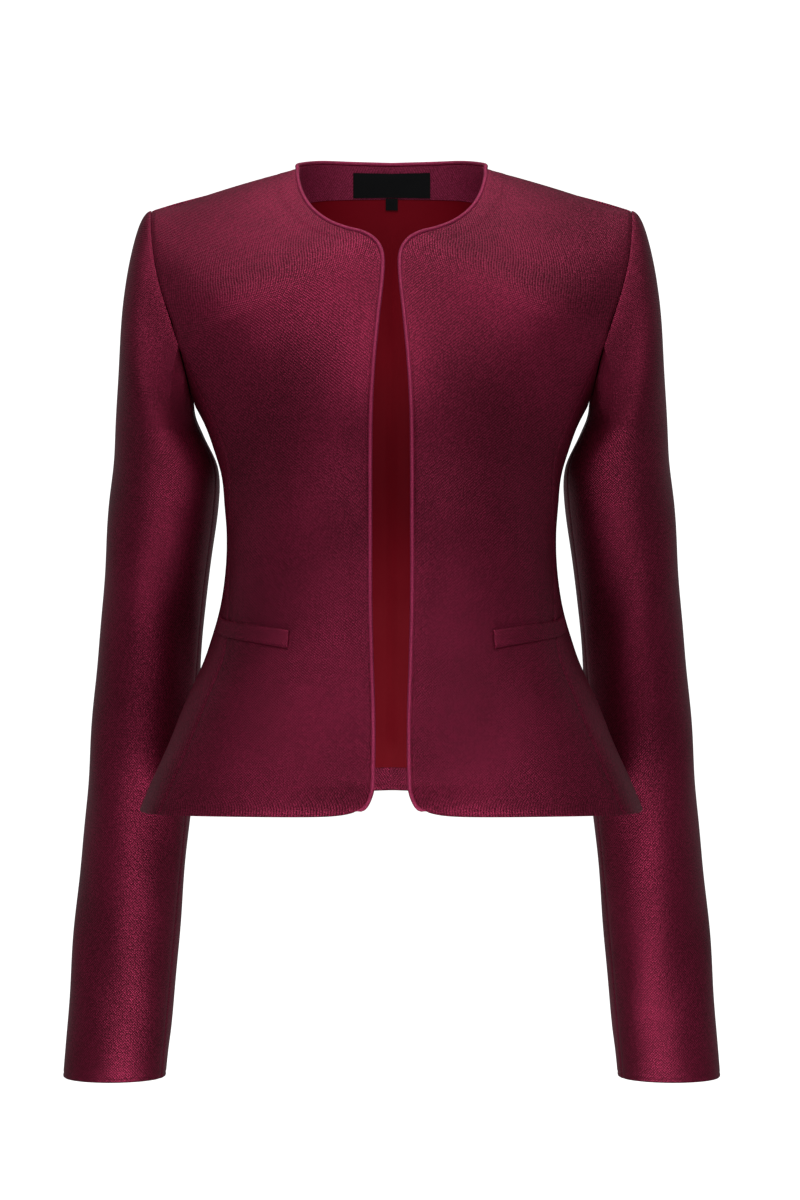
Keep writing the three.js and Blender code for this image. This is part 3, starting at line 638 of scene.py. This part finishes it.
@dataclass(frozen=True)
class Satin:
    """Plain satin or tape with fine yarns running down it."""

    name: str
    colour: tuple[float, float, float]
    deep: tuple[float, float, float]
    roughness: float
    metallic: float = 0.0
    yarns: tuple[float, float] = (2600, 300)
    relief: float = 0.00005

    def material(self) -> bpy.types.Material:
        """Makes the material, reading the piece's bolt map."""
        made = bpy.data.materials.new(self.name)
        made.use_nodes = True
        made.node_tree.nodes.clear()
        sheet = NodeSheet(made.node_tree)
        bolt = sheet.add("ShaderNodeUVMap", uv_map="bolt").outputs[0]
        yarn = sheet.add("ShaderNodeMapping", {"Vector": bolt, "Scale": (*self.yarns, 1)})
        fine = sheet.add("ShaderNodeTexNoise", {"Vector": yarn.outputs[0], "Scale": 1.0, "Detail": 2.0},
                         noise_dimensions="2D")
        slow = sheet.add("ShaderNodeTexNoise", {"Vector": bolt, "Scale": 14.0, "Detail": 2.0},
                         noise_dimensions="2D")
        amount = sheet.math("MULTIPLY", sheet.math("ADD", fine.outputs[0], slow.outputs[0]), 0.5)
        colour = sheet.add("ShaderNodeMix", {0: amount, 6: (*self.deep, 1), 7: (*self.colour, 1)},
                           data_type="RGBA", clamp_factor=True)
        rough = sheet.add("ShaderNodeMapRange", {0: fine.outputs[0], 3: self.roughness + 0.06,
                                                 4: self.roughness - 0.06})
        bump = sheet.add("ShaderNodeBump", {"Height": fine.outputs[0], "Distance": self.relief, "Strength": 1.0})
        shader = sheet.add("ShaderNodeBsdfPrincipled", {
            "Base Color": colour.outputs[2], "Roughness": rough.outputs[0], "Normal": bump.outputs[0],
            "Metallic": self.metallic, "Specular IOR Level": 0.15})
        out = sheet.add("ShaderNodeOutputMaterial")
        made.node_tree.links.new(shader.outputs[0], out.inputs[0])
        return made


@dataclass
class Finishes:
    """All the materials of the jacket."""

    face: bpy.types.Material
    wrong_side: bpy.types.Material
    piping: bpy.types.Material
    facing: bpy.types.Material
    lining: bpy.types.Material
    label: bpy.types.Material

    @classmethod
    def make(cls) -> "Finishes":
        """Makes the weave and each finish."""
        weave = build_weave_group()
        return cls(
            face=Brocade("wine_brocade", (0.085, 0.0085, 0.019), (0.40, 0.027, 0.088)).material(weave),
            wrong_side=Brocade("brocade_wrong_side", (0.05, 0.004, 0.011), (0.12, 0.009, 0.028),
                               roughness=(0.75, 0.65), metallic=0.1).material(weave),
            piping=Brocade("brocade_piping", (0.30, 0.022, 0.070), (0.66, 0.065, 0.19), cell=1.5,
                           roughness=(0.5, 0.4), metallic=0.45).material(weave),
            # The facing is the face brocade with a lighter ground and floats: painted light, brightening the inside
            # of the back neck where little lamp light reaches
            facing=Brocade("brocade_facing_painted_light", (0.17, 0.011, 0.036), (0.62, 0.050, 0.16), metallic=0.15,
                           roughness=(0.55, 0.45)).material(weave),
            lining=Satin("wine_satin_lining", (0.33, 0.0012, 0.013), (0.22, 0.0005, 0.008), 0.6,
                         metallic=0.15).material(),
            label=Satin("black_label", (0.012, 0.013, 0.014), (0.003, 0.003, 0.004), 0.7,
                        yarns=(500, 2600), relief=0.0001).material())


@dataclass
class FrontPanel:
    """Front of one half, from the neck and front edge to the armhole and side seam."""

    cut: Sheet = Sheet(0.200, 0.530, 0.0775)
    step_across: float = 3.2
    step_down: float = 3.4
    seam_depth: float = 0.55
    facing_width: float = 12.0
    facing_rise: float = 0.35
    mouth_depth: float = 1.1

    def stations(self) -> np.ndarray:
        """Stations of the rows, close together at the shoulder and the hem."""
        length = 524.0
        return edge_lines(length, self.step_down, HEM_LINES) / length

    def cloth(self) -> Cloth:
        """The panel's outer face, with its lines at even distances from both seams."""
        at = self.stations()[:, None]
        coarse = np.linspace(0, 1, 40)[None, :]
        width = running_length(front_surface(coarse, at + 0 * coarse), 1)[:, -1]
        count = len(edge_lines(float(width.mean()), self.step_across, SEAM_LINES))
        share = np.array([even_lines(w, count) / w for w in width])
        return Cloth(front_surface(share, at + 0 * share)), share, at + 0 * share

    def relief(self, cloth: Cloth, share: np.ndarray, at: np.ndarray) -> np.ndarray:
        """Seam rolls, the edge of the facing within, the pocket mouth and a soft unevenness."""
        height = dip(cloth.across, 0.5, 1.3) + dip(cloth.from_last, self.seam_depth, 1.9)
        height += dip(cloth.down, 0.5, 1.7) * ease(share * 30)
        height += dip(cloth.from_hem - 3.0, 0.22, 0.9)
        height += self.facing_rise * (1 - ease((cloth.across - self.facing_width) / 3.5))
        calm = ease(cloth.across / 25) * ease(cloth.from_last / 25)
        height += calm * wave_field(cloth.across, cloth.down, (
            (160, 900, 0.4, 0.45), (210, 260, 2.1, 0.35), (95, 330, 4.0, 0.22), (400, 120, 1.0, 0.2)))
        waist = np.exp(-((at - 0.6) / 0.05) ** 2) * ease((share - 0.45) / 0.5)
        height += waist * wave_field(cloth.across, cloth.down, ((300, 24, 0.5, 0.22),))
        drag = np.exp(-((at - 0.27) / 0.07) ** 2) * ease((share - 0.5) / 0.45)
        height += drag * wave_field(cloth.across, cloth.down, ((70, 90, 1.2, 0.7),))
        return height + self.pocket_mouth(share, at)

    def pocket_mouth(self, share: np.ndarray, at: np.ndarray) -> np.ndarray:
        """Slit above the welt, where the cloth goes into the pocket."""
        top = PocketWelt().top_at(share)
        along_slit = ease((share - 0.495) / 0.02)
        return dip((at - top) * 524, self.mouth_depth, 1.5) * along_slit

    def build(self, finishes: Finishes, carried: dict[Half, tuple]) -> list[bpy.types.Object]:
        """Builds both fronts.

        Args:
            finishes: Materials of the jacket.
            carried: Pieces sewn on each half; not used.

        Returns:
            The two fronts.
        """
        cloth, share, at = self.cloth()
        lift = self.relief(cloth, share, at)
        made = []
        for half in Half:
            name = f"front_{half.value}"
            wall = shell(f"front_cloth_{half.value}", cloth, lift, CLOTH, [finishes.face, finishes.wrong_side],
                         roll=(0, 0, 0.8, 0.5))
            made.append(sew_in(wall.build(half), name))
        return made


def even_lines(width: float, count: int) -> np.ndarray:
    """A fixed number of lines across a width, close together at both edges."""
    near = np.array(SEAM_LINES)
    middle = np.linspace(near[-1], width - near[-1], count - 2 * len(near) + 2)[1:-1]
    return np.concatenate([near, middle, (width - near)[::-1]])


@dataclass
class SidePanel:
    """Side panel of one half, under the arm."""

    cut: Sheet = Sheet(0.140, 0.380, 0.0415)
    step_across: float = 3.4
    step_down: float = 3.6
    seam_depth: float = 0.55

    def cloth(self) -> Cloth:
        """The panel's outer face."""
        length = 380.0
        at = (NOTCH + (1 - NOTCH) * edge_lines(length, self.step_down, HEM_LINES) / length)[:, None]
        coarse = np.linspace(0, 1, 40)[None, :]
        width = running_length(side_surface(coarse + 0 * at, at + 0 * coarse), 1)[:, -1]
        count = len(edge_lines(float(width.mean()), self.step_across, SEAM_LINES))
        share = np.array([even_lines(w, count) / w for w in width])
        return Cloth(side_surface(share, at + 0 * share))

    def relief(self, cloth: Cloth) -> np.ndarray:
        """Seam rolls and a soft unevenness."""
        height = dip(cloth.across, self.seam_depth, 1.9) + dip(cloth.from_last, self.seam_depth, 1.9)
        height += dip(cloth.down, 0.4, 1.7) + dip(cloth.from_hem - 3.0, 0.22, 0.9)
        calm = ease(cloth.across / 25) * ease(cloth.from_last / 25) * ease(cloth.down / 40)
        height += calm * wave_field(cloth.across, cloth.down, (
            (150, 500, 0.9, 0.4), (300, 70, 2.6, 0.35), (120, 210, 4.4, 0.25)))
        return height

    def build(self, finishes: Finishes) -> list[bpy.types.Object]:
        """Builds both side panels."""
        cloth = self.cloth()
        lift = self.relief(cloth)
        return [sew_in(shell(f"side_cloth_{half.value}", cloth, lift, CLOTH, [finishes.face, finishes.wrong_side],
                             roll=(0, 0, 0.8, 0)).build(half),
                       f"side_{half.value}") for half in Half]


@dataclass
class BackPanel:
    """Back of one half, from the armhole and side seam to the centre back."""

    cut: Sheet = Sheet(0.205, 0.540, 0.0850)
    step_across: float = 3.4
    step_down: float = 3.6
    seam_depth: float = 0.55
    turn_up: float = 21.0

    def grid(self) -> tuple[Cloth, np.ndarray, np.ndarray]:
        """The panel's outer face, its shares and its stations."""
        length = 530.0
        at = (edge_lines(length, self.step_down, HEM_LINES) / length)[:, None]
        coarse = np.linspace(0, 1, 60)[None, :]
        width = running_length(back_surface(coarse + 0 * at, at + 0 * coarse), 1)[:, -1]
        count = len(edge_lines(float(width.mean()), self.step_across, SEAM_LINES))
        share = np.array([even_lines(w, count) / w for w in width])
        return Cloth(back_surface(share, at + 0 * share)), share, at + 0 * share

    def relief(self, cloth: Cloth, at: np.ndarray) -> np.ndarray:
        """Seam rolls, the centre back seam and soft folds over the waist."""
        height = dip(cloth.across, self.seam_depth, 1.9) + dip(cloth.from_last, 0.45, 1.8)
        height += dip(cloth.down, 0.45, 1.7) + dip(cloth.from_hem - 3.0, 0.22, 0.9)
        calm = ease(cloth.across / 25) * ease(cloth.from_last / 25)
        height += calm * wave_field(cloth.across, cloth.down, (
            (190, 800, 1.4, 0.5), (230, 240, 3.3, 0.4), (100, 300, 0.3, 0.25)))
        waist = np.exp(-((at - 0.56) / 0.07) ** 2) * ease(cloth.from_last / 60)
        return height + waist * wave_field(cloth.across, cloth.down, ((260, 34, 0.9, 0.5),))

    def build(self, finishes: Finishes) -> list[bpy.types.Object]:
        """Builds both halves of the back."""
        cloth, _, at = self.grid()
        lift = self.relief(cloth, at)
        turned = int(np.sum(cloth.from_hem[:, 0] < self.turn_up))
        return [sew_in(shell(f"back_cloth_{half.value}", cloth, lift, CLOTH, [finishes.face, finishes.wrong_side],
                             to_centre=True, roll=(0, 0, 0.8, 0), turned_up=turned).build(half),
                       f"back_{half.value}") for half in Half]


@dataclass
class Sleeve:
    """Two-piece sleeve: the upper piece over the shoulder and the under piece beneath the arm."""

    upper_cut: Sheet = Sheet(0.245, 0.730, 0.133)
    under_cut: Sheet = Sheet(0.100, 0.600, 0.0415)
    step_round: float = 3.4
    head_rows: int = 56
    step_down: float = 4.2
    seam_depth: float = 0.5

    def armhole(self) -> tuple[np.ndarray, np.ndarray, int, int]:
        """The armhole as one closed loop, from the shoulder tip over the back and up the front.

        Returns:
            Its points, each point's degrees round, and the numbers of the back and front sleeve seams.
        """
        back = outer_seam(BACK_ARMHOLE, SIDE_BACK_SEAM, self._spaced(0, NOTCH, 60))[0]
        under = place(UNDERARM, np.linspace(1, 0, 61))
        front = outer_seam(FRONT_ARMHOLE, SIDE_FRONT_SEAM, self._spaced(NOTCH, 0, 60))[0]
        points = np.concatenate([back[:-1], under[:-1], front[:-1]])
        steps = np.linalg.norm(np.roll(points, -1, axis=0) - points, axis=1)
        run = np.concatenate([[0], np.cumsum(steps)])
        lowest = 60 + 30
        whole = run[-1]
        degrees = np.where(np.arange(len(run)) <= lowest, 180 * run / run[lowest],
                           180 + 180 * (run - run[lowest]) / (whole - run[lowest]))
        front_seam = 60 + int(round(60 * (1 - UNDER_SLEEVE_SHARE)))
        return np.concatenate([points, points[:1]]), degrees, 60, front_seam

    @staticmethod
    def _spaced(start: float, end: float, count: int) -> np.ndarray:
        """Evenly spaced stations, both ends included."""
        return np.linspace(start, end, count + 1)

    @staticmethod
    def tube(degrees: np.ndarray, depth: np.ndarray) -> np.ndarray:
        """Points of the tube at given degrees round and depths."""
        turn = np.radians(degrees)
        x, y, across, deep = (along(SLEEVE_TUBE, column, depth) for column in range(1, 5))
        return np.stack([x + across * np.cos(turn), y + deep * np.sin(turn), -depth + 0 * turn], axis=-1)

    def grid(self) -> tuple[np.ndarray, int, int, np.ndarray]:
        """All the sleeve's outer points, the columns of its two seams, and each column's degrees round."""
        points, degrees, back_seam, front_seam = self.armhole()
        top = float(SLEEVE_TUBE[0, 0])
        start = points + np.array([SLEEVE_GAP, 0, 0])
        into = self.tube(degrees, np.full_like(degrees, top))
        reach = np.linalg.norm(into - start, axis=1)
        folded = np.where(degrees <= 180, degrees, 360 - degrees)
        back = np.sign(180 - degrees)
        leave = np.stack([along(SLEEVE_HEAD, 1, folded), back * along(SLEEVE_HEAD, 2, folded),
                          -along(SLEEVE_HEAD, 3, folded)], axis=-1) * reach[:, None]
        arrive = unit(self.tube(degrees, np.full_like(degrees, top + 8)) - into) * reach[:, None]
        share = np.concatenate([[0, 0.004, 0.009, 0.016], np.linspace(0.026, 1, self.head_rows)])
        head = hermite(start[None], leave[None], into[None], arrive[None], share[:, None, None])
        bottom = float(SLEEVE_TUBE[-1, 0])
        lines = edge_lines(bottom - top, self.step_down, HEM_LINES)
        lines = np.concatenate([np.arange(self.step_down, lines[-12], self.step_down), lines[lines > lines[-12] + 1]])
        depths = top + lines
        tube = self.tube(degrees[None, :], depths[:, None] + 0 * degrees[None, :])
        return np.concatenate([head, tube]), back_seam, front_seam, degrees

    def parts(self) -> dict[str, Cloth]:
        """The upper and under pieces of cloth, cut from one grid."""
        grid, back_seam, front_seam, _ = self.grid()
        normals = grid_normals(grid, closed=True)
        ring = grid.shape[1] - 1
        spans = {"upper": [(front_seam + i) % ring for i in range((back_seam - front_seam) % ring + 1)],
                 "under": list(range(back_seam, front_seam + 1))}
        made = {}
        for name, columns in spans.items():
            cloth = Cloth(self._with_edge_lines(grid[:, columns]))
            whole = self._with_edge_lines(normals[:, columns])
            cloth.normals = unit(whole)
            made[name] = cloth
        return made

    @staticmethod
    def _with_edge_lines(values: np.ndarray) -> np.ndarray:
        """The same grid with close columns at both seams."""
        count = values.shape[1] - 1
        near = np.array([0, 0.15, 0.3, 0.5, 0.75])
        spots = np.concatenate([near, np.arange(1, count), (count - near)[::-1]])
        low = np.minimum(spots.astype(int), count - 1)
        part = (spots - low)[None, :, None]
        return values[:, low] * (1 - part) + values[:, low + 1] * part

    def relief(self, cloth: Cloth, upper: bool) -> np.ndarray:
        """Seam rolls, ease at the head, the cuff's turned edge and soft ripples."""
        height = dip(cloth.across, self.seam_depth, 1.6) + dip(cloth.from_last, self.seam_depth, 1.6)
        height += dip(cloth.down, 0.4, 1.5)
        height += dip(cloth.from_hem - 3.2, 0.32, 0.9) + dip(cloth.from_hem, 0.25, 0.8)
        calm = ease(cloth.across / 22) * ease(cloth.from_last / 22) * ease(cloth.down / 30)
        waves = ((130, 620, 0.7, 0.7), (260, 175, 2.2, 0.55), (90, 250, 3.9, 0.3), (700, 88, 1.1, 0.3))
        height += calm * ease(cloth.from_hem / 40) * wave_field(cloth.across, cloth.down, waves)
        if upper:
            puckers = np.exp(-cloth.down / 9) * ease(cloth.down / 2)
            height += 0.12 * puckers * np.sin(cloth.across / 3.4)
        return height

    def build(self, finishes: Finishes) -> list[bpy.types.Object]:
        """Builds the four sleeve pieces."""
        made = []
        for name, cloth in self.parts().items():
            lift = self.relief(cloth, name == "upper")
            for half in Half:
                wall = shell(f"sleeve_{name}_cloth_{half.value}", cloth, lift, CLOTH,
                             [finishes.face, finishes.wrong_side], roll=(0, 0, 0.8, 0))
                made.append(sew_in(wall.build(half), f"sleeve_{name}_{half.value}"))
        return made


@dataclass
class PocketWelt:
    """Slanting pocket welt, from the front over the side seam onto the side panel."""

    cut: Sheet = Sheet(0.084, 0.0155, 0.00122, held="laid")
    start: float = 0.50
    past_seam: float = 0.15
    inner_at: float = 0.738
    outer_at: float = 0.686
    height_at: float = 0.0255
    thickness: float = 1.5
    rise: float = 0.8
    columns: int = 60
    rows: int = 22

    def top_at(self, share: np.ndarray) -> np.ndarray:
        """Station of the welt's upper edge at a share of the front."""
        return self.inner_at + (self.outer_at - self.inner_at) * (share - self.start) / (
            1 - self.start) * (5 / 6)

    def cloth(self) -> Cloth:
        """The welt's grid on the outer faces of the front and the side panel."""
        t = np.linspace(0, 1, self.columns)[None, :]
        level = np.linspace(0, 1, self.rows)[:, None]
        at = self.inner_at + (self.outer_at - self.inner_at) * t + level * self.height_at
        on_front = self.start + (1 - self.start) * np.minimum(t * 6 / 5, 1)
        on_side = self.past_seam * np.maximum(t * 6 - 5, 0)
        front = front_surface(on_front + 0 * at, at)
        side = side_surface(on_side + 0 * at, at)
        return Cloth(np.where((t * 6 <= 5)[..., None], front, side))

    def build(self, finishes: Finishes) -> dict[Half, bpy.types.Object]:
        """Builds the two welts, rounded at their edges and sewn down at their ends."""
        cloth = self.cloth()
        ends = np.minimum(cloth.across, cloth.from_last)
        lift = self.rise + self.thickness + dip(ends, 0.5, 1.2) + dip(cloth.from_hem, 0.45, 1.1)
        lift = lift + dip(cloth.down, 0.3, 0.8) + dip(ends - 2.6, 0.18, 0.5)
        wall = shell("", cloth, lift, self.thickness, [finishes.face, finishes.face], roll=(0.5, 0.2, 0.3, 0.2))
        made = {}
        for half in Half:
            wall.name = f"pocket_welt_cloth_{half.value}"
            made[half] = sew_in(wall.build(half), f"pocket_welt_{half.value}")
        return made


@dataclass
class Piping:
    """Corded piping up one front edge, round the neck and down the other."""

    radius: float = 1.7
    sides: int = 14
    sink: float = 0.6
    sewn_in: float = 0.2
    tuck: float = 7.0

    def path(self) -> tuple[np.ndarray, np.ndarray, np.ndarray]:
        """Edge points, directions away from the cloth, and normals, from hem to centre back."""
        at = np.linspace(1, 0, 330)
        edge = front_surface(np.zeros_like(at), at)
        inward = front_surface(np.full_like(at, 0.03), at)
        front_away = unit(edge - inward)
        share = np.linspace(NECK_SHARE, 1, 70)[1:]
        top = back_surface(share, np.zeros_like(share))
        below = back_surface(share, np.full_like(share, 0.02))
        away = np.concatenate([front_away, unit(top - below)])
        points = np.concatenate([edge, top])
        run = unit(np.gradient(points, axis=0))
        normal = unit(np.cross(away, run))
        normal *= np.sign(np.sum(normal * (points - np.array([0, 20, -250])), axis=1, keepdims=True))
        return points, self._smooth(away), self._smooth(normal)

    @staticmethod
    def _smooth(values: np.ndarray) -> np.ndarray:
        """Evens out directions over neighbouring points."""
        window = np.hanning(11)[1:-1]
        window /= window.sum()
        padded = np.concatenate([np.repeat(values[:1], 4, 0), values, np.repeat(values[-1:], 4, 0)])
        return unit(np.stack([np.convolve(padded[:, i], window, "valid") for i in range(3)], axis=-1))

    def build(self, finishes: Finishes) -> bpy.types.Object:
        """Builds the cord with its bias strip as one closed tube."""
        points, away, normal = self.path()
        flip = np.array([-1, 1, 1])
        points, away, normal = (np.concatenate([part, part[-2::-1] * flip]) for part in (points, away, normal))
        run = unit(np.gradient(points, axis=0))
        away = unit(away - run * np.sum(away * run, axis=1, keepdims=True))
        up = normal - run * np.sum(normal * run, axis=1, keepdims=True)
        up = unit(up - away * np.sum(up * away, axis=1, keepdims=True))
        from_end = np.concatenate([[0], np.cumsum(np.linalg.norm(np.diff(points, axis=0), axis=1))])
        full = ease(np.minimum(from_end, from_end[-1] - from_end) / self.tuck)[:, None]
        radius = self.radius * (0.3 + 0.7 * full)
        centre = points + away * (radius - self.sewn_in - 1.2 * (1 - full)) - up * (self.sink + 0.4 * (1 - full))
        turn = np.linspace(0, 2 * math.pi, self.sides, endpoint=False)
        ring = (centre[:, None] + radius[:, None] * (away[:, None] * np.cos(turn)[None, :, None]
                                                 + up[:, None] * np.sin(turn)[None, :, None]))
        rows = len(points)
        length = np.concatenate([[0], np.cumsum(np.linalg.norm(np.diff(centre, axis=0), axis=1))])
        cells = np.arange(rows * self.sides).reshape(rows, self.sides)
        a, b = cells[:-1], np.roll(cells[:-1], -1, axis=1)
        c, d = np.roll(cells[1:], -1, axis=1), cells[1:]
        faces = np.stack([a, d, c, b], axis=-1).reshape(-1, 4).tolist()
        faces += [tuple(cells[0]), tuple(cells[-1][::-1])]
        flat = np.stack(np.broadcast_arrays(turn[None, :] * self.radius, length[:, None]), axis=-1) * MM
        flat = flat @ np.array([[0.707, 0.707], [-0.707, 0.707]])
        obj = make_object("piping_cord", ring.reshape(-1, 3), faces, flat.reshape(-1, 2),
                          [finishes.piping], [0] * len(faces), 50)
        select_only(obj)
        bpy.ops.object.mode_set(mode="EDIT")
        bpy.ops.mesh.select_all(action="SELECT")
        bpy.ops.mesh.normals_make_consistent(inside=False)
        bpy.ops.object.mode_set(mode="OBJECT")
        return sew_in(obj, "piping")


@dataclass
class NeckFacing:
    """Facing of the jacket's own cloth inside the back neck."""

    cut: Sheet = Sheet(0.145, 0.042, 0.0052)
    thickness: float = 1.0
    centre_seam: float = 0.3

    def build(self, finishes: Finishes) -> list[bpy.types.Object]:
        """Builds both halves of the facing, joined at the centre back."""
        share = np.linspace(FACING_SHARE, 1, 90)[None, :]
        at = np.linspace(0, FACING_AT, 26)[:, None]
        cloth = Cloth(back_surface(share + 0 * at, at + 0 * share))
        lift = -INSIDE - dip(cloth.from_last, self.centre_seam, 1.2) - dip(cloth.from_hem, 0.25, 1.2)
        # Its finish is the brocade lightened as painted light for the shaded inside of the neck
        return [sew_in(shell(f"neck_facing_{half.value}", cloth, -INSIDE + 0 * lift,
                             self.thickness, [finishes.facing, finishes.facing]).build(half),
                       f"back_neck_facing_{half.value}") for half in Half]


@dataclass
class Lining:
    """Satin lining of the back, from the facing to above the hem."""

    cut: Sheet = Sheet(0.195, 0.520, 0.0720, held="hung")
    thickness: float = 0.6
    folds: float = 0.7

    def build(self, finishes: Finishes) -> list[bpy.types.Object]:
        """Builds both halves of the lining, with loose folds towards the wearer."""
        share = np.linspace(LINING_SHARE, 1, 70)[None, :]
        at = np.concatenate([[FACING_AT + 0.0008], np.linspace(FACING_AT + 0.008, LINING_HEM_AT, 150)])[:, None]
        cloth = Cloth(back_surface(share + 0 * at, at + 0 * share))
        loose = ease(cloth.across / 30) * ease(cloth.down / 40) * ease(cloth.from_hem / 25)
        waves = wave_field(cloth.across, cloth.down, ((46, 900, 0.0, 0.5), (85, 400, 1.7, 0.5)))
        inwards = self.folds * loose * (1 + waves) + 0.8 * ease(1 - cloth.from_last / 5) * loose
        return [sew_in(shell(f"back_lining_satin_{half.value}", cloth, -INSIDE - inwards, self.thickness,
                             [finishes.lining, finishes.lining], to_centre=True).build(half),
                       f"back_lining_{half.value}") for half in Half]


@dataclass
class NeckLabel:
    """Blank black woven label and its small tab, sewn to the facing."""

    label_cut: Sheet = Sheet(0.065, 0.022, 0.00135, held="laid",
                             rests_on=("neck_facing_right", "neck_facing_left"))
    tab_cut: Sheet = Sheet(0.0105, 0.0115, 0.00012, held="laid",
                           rests_on=("neck_facing_right", "neck_facing_left"))
    thickness: float = 0.6
    depth: float = INSIDE + 1.3

    def patch(self, name: str, node: str, width: float, top: float, bottom: float,
              finishes: Finishes) -> bpy.types.Object:
        """Builds one patch across the centre back.

        Args:
            name: Name of the piece.
            node: CAD node that it stands for.
            width: Width in mm.
            top: Station of its upper edge.
            bottom: Station of its lower edge.
            finishes: Materials of the jacket.

        Returns:
            The patch.
        """
        at = np.linspace(top, bottom, 16)
        rows = []
        for station in at:
            share = np.linspace(0.55, 1, 400)
            points = back_surface(share, np.full_like(share, station))
            half = np.linspace(width / 2, 0, 22)
            picked = np.stack([np.interp(half, points[::-1, 0], points[::-1, i]) for i in range(3)], axis=-1)
            rows.append(np.concatenate([picked, picked[-2::-1] * np.array([-1, 1, 1])]))
        cloth = Cloth(np.array(rows))
        edge = np.minimum(np.minimum(cloth.across, cloth.from_last), np.minimum(cloth.down, cloth.from_hem))
        lift = -self.depth - 0.12 * ease(edge / 1.5) + 0.1 * np.exp(-((edge - 1.6) / 0.5) ** 2)
        wall = Wall(name, cloth.lifted(np.full_like(lift, -self.depth)), cloth.lifted(lift - self.thickness + 0.1),
                    cloth.grain(), [finishes.label, finishes.label])
        return sew_in(wall.build(Half.RIGHT), node)

    def build(self, finishes: Finishes) -> list[bpy.types.Object]:
        """Builds the label and the tab."""
        return [self.patch("label_tape", "neck_label", 65, 0.012, 0.057, finishes),
                self.patch("tab_tape", "size_tab", 10.5, 0.0582, 0.080, finishes)]


@dataclass
class Studio:
    """Pale floor and backdrop, soft lights and the camera."""

    camera_place: tuple[float, float, float] = (0.0068, -2.6, -0.348)
    lens: float = 97.5
    floor_height: float = -1.02
    key_power: float = 27.0
    top_power: float = 11.0
    low_power: float = 2.8
    inner_power: float = 0.05
    front_power: float = 1.5
    ambient: float = 0.20

    def backdrop(self) -> None:
        """Lays a pale floor that sweeps up behind the jacket."""
        bpy.ops.mesh.primitive_grid_add(x_subdivisions=2, y_subdivisions=40, size=1)
        sweep = bpy.context.object
        sweep.name = "studio_sweep"
        for vertex in sweep.data.vertices:
            t = (vertex.co.y + 0.5) * 13.4
            bend = min(max((t - 11.0) / 1.4, 0), 1) * math.pi / 2
            flat = min(t, 11.0)
            y = -3.2 + flat + 0.9 * math.sin(bend)
            z = self.floor_height + 0.9 * (1 - math.cos(bend)) + max(t - 12.4, 0) * 4.5
            vertex.co = (vertex.co.x * 16, y, z)
        bpy.ops.object.shade_smooth()
        paper = bpy.data.materials.new("pale_paper")
        paper.use_nodes = True
        shader = paper.node_tree.nodes["Principled BSDF"]
        shader.inputs["Base Color"].default_value = (0.9, 0.9, 0.9, 1)
        shader.inputs["Roughness"].default_value = 0.9
        shader.inputs["Emission Color"].default_value = (1, 1, 1, 1)
        shader.inputs["Emission Strength"].default_value = 1.0
        sweep.data.materials.append(paper)
        sweep.visible_diffuse = sweep.visible_glossy = False

    def lamp(self, name: str, place_at: tuple[float, float, float], aim: tuple[float, float, float],
             power: float, size: tuple[float, float]) -> None:
        """Adds a soft rectangular lamp.

        Args:
            name: Name of the lamp.
            place_at: Its place in metres.
            aim: Point that it faces.
            power: Power in watts.
            size: Width and height in metres.
        """
        data = bpy.data.lights.new(name, "AREA")
        data.shape = "RECTANGLE"
        data.size, data.size_y = size
        data.energy = power
        lamp = bpy.data.objects.new(name, data)
        bpy.context.collection.objects.link(lamp)
        lamp.location = place_at
        way = np.array(aim) - np.array(place_at)
        lamp.rotation_euler = (math.atan2(math.hypot(way[0], way[1]), -way[2]), 0,
                               math.atan2(way[1], way[0]) - math.pi / 2)

    def build(self) -> None:
        """Builds the studio."""
        self.backdrop()
        world = bpy.data.worlds.new("studio_air")
        world.use_nodes = True
        world.node_tree.nodes["Background"].inputs[0].default_value = (1, 1, 1, 1)
        world.node_tree.nodes["Background"].inputs[1].default_value = self.ambient
        bpy.context.scene.world = world
        self.lamp("key", (0.0, -2.1, 1.8), (0, -0.05, -0.2), self.key_power, (1.9, 1.0))
        self.lamp("top", (0.0, 0.1, 1.9), (0, 0, 0), self.top_power, (1.0, 1.0))
        self.lamp("inner", (0.0, -0.05, -0.36), (0, 0.1, -0.36), self.inner_power, (0.05, 0.6))
        self.lamp("low", (0.0, -0.45, -1.0), (0, 0, -0.62), self.low_power, (0.5, 0.25))
        self.lamp("front", (0.0, -2.5, -0.25), (0, 0, -0.35), self.front_power, (0.6, 0.6))
        camera = bpy.data.cameras.new("camera")
        camera.lens = self.lens
        camera.sensor_fit = "VERTICAL"
        camera.sensor_height = 36
        eye = bpy.data.objects.new("camera", camera)
        bpy.context.collection.objects.link(eye)
        eye.location = self.camera_place
        eye.rotation_euler = (math.pi / 2, 0, 0)
        bpy.context.scene.camera = eye
        bpy.context.scene.view_settings.view_transform = "Standard"


def main() -> None:
    """Builds the studio and each sub-assembly of the jacket in order."""
    logging.basicConfig(level=logging.INFO, format="%(name)s: %(message)s")
    Studio().build()
    finishes = Finishes.make()
    piping = Piping().build(finishes)
    PocketWelt().build(finishes)
    FrontPanel().build(finishes, {Half.RIGHT: (piping,), Half.LEFT: ()})
    SidePanel().build(finishes)
    BackPanel().build(finishes)
    Sleeve().build(finishes)
    NeckFacing().build(finishes)
    Lining().build(finishes)
    NeckLabel().build(finishes)
    bpy.context.view_layer.update()


if __name__ == "__main__":
    main()
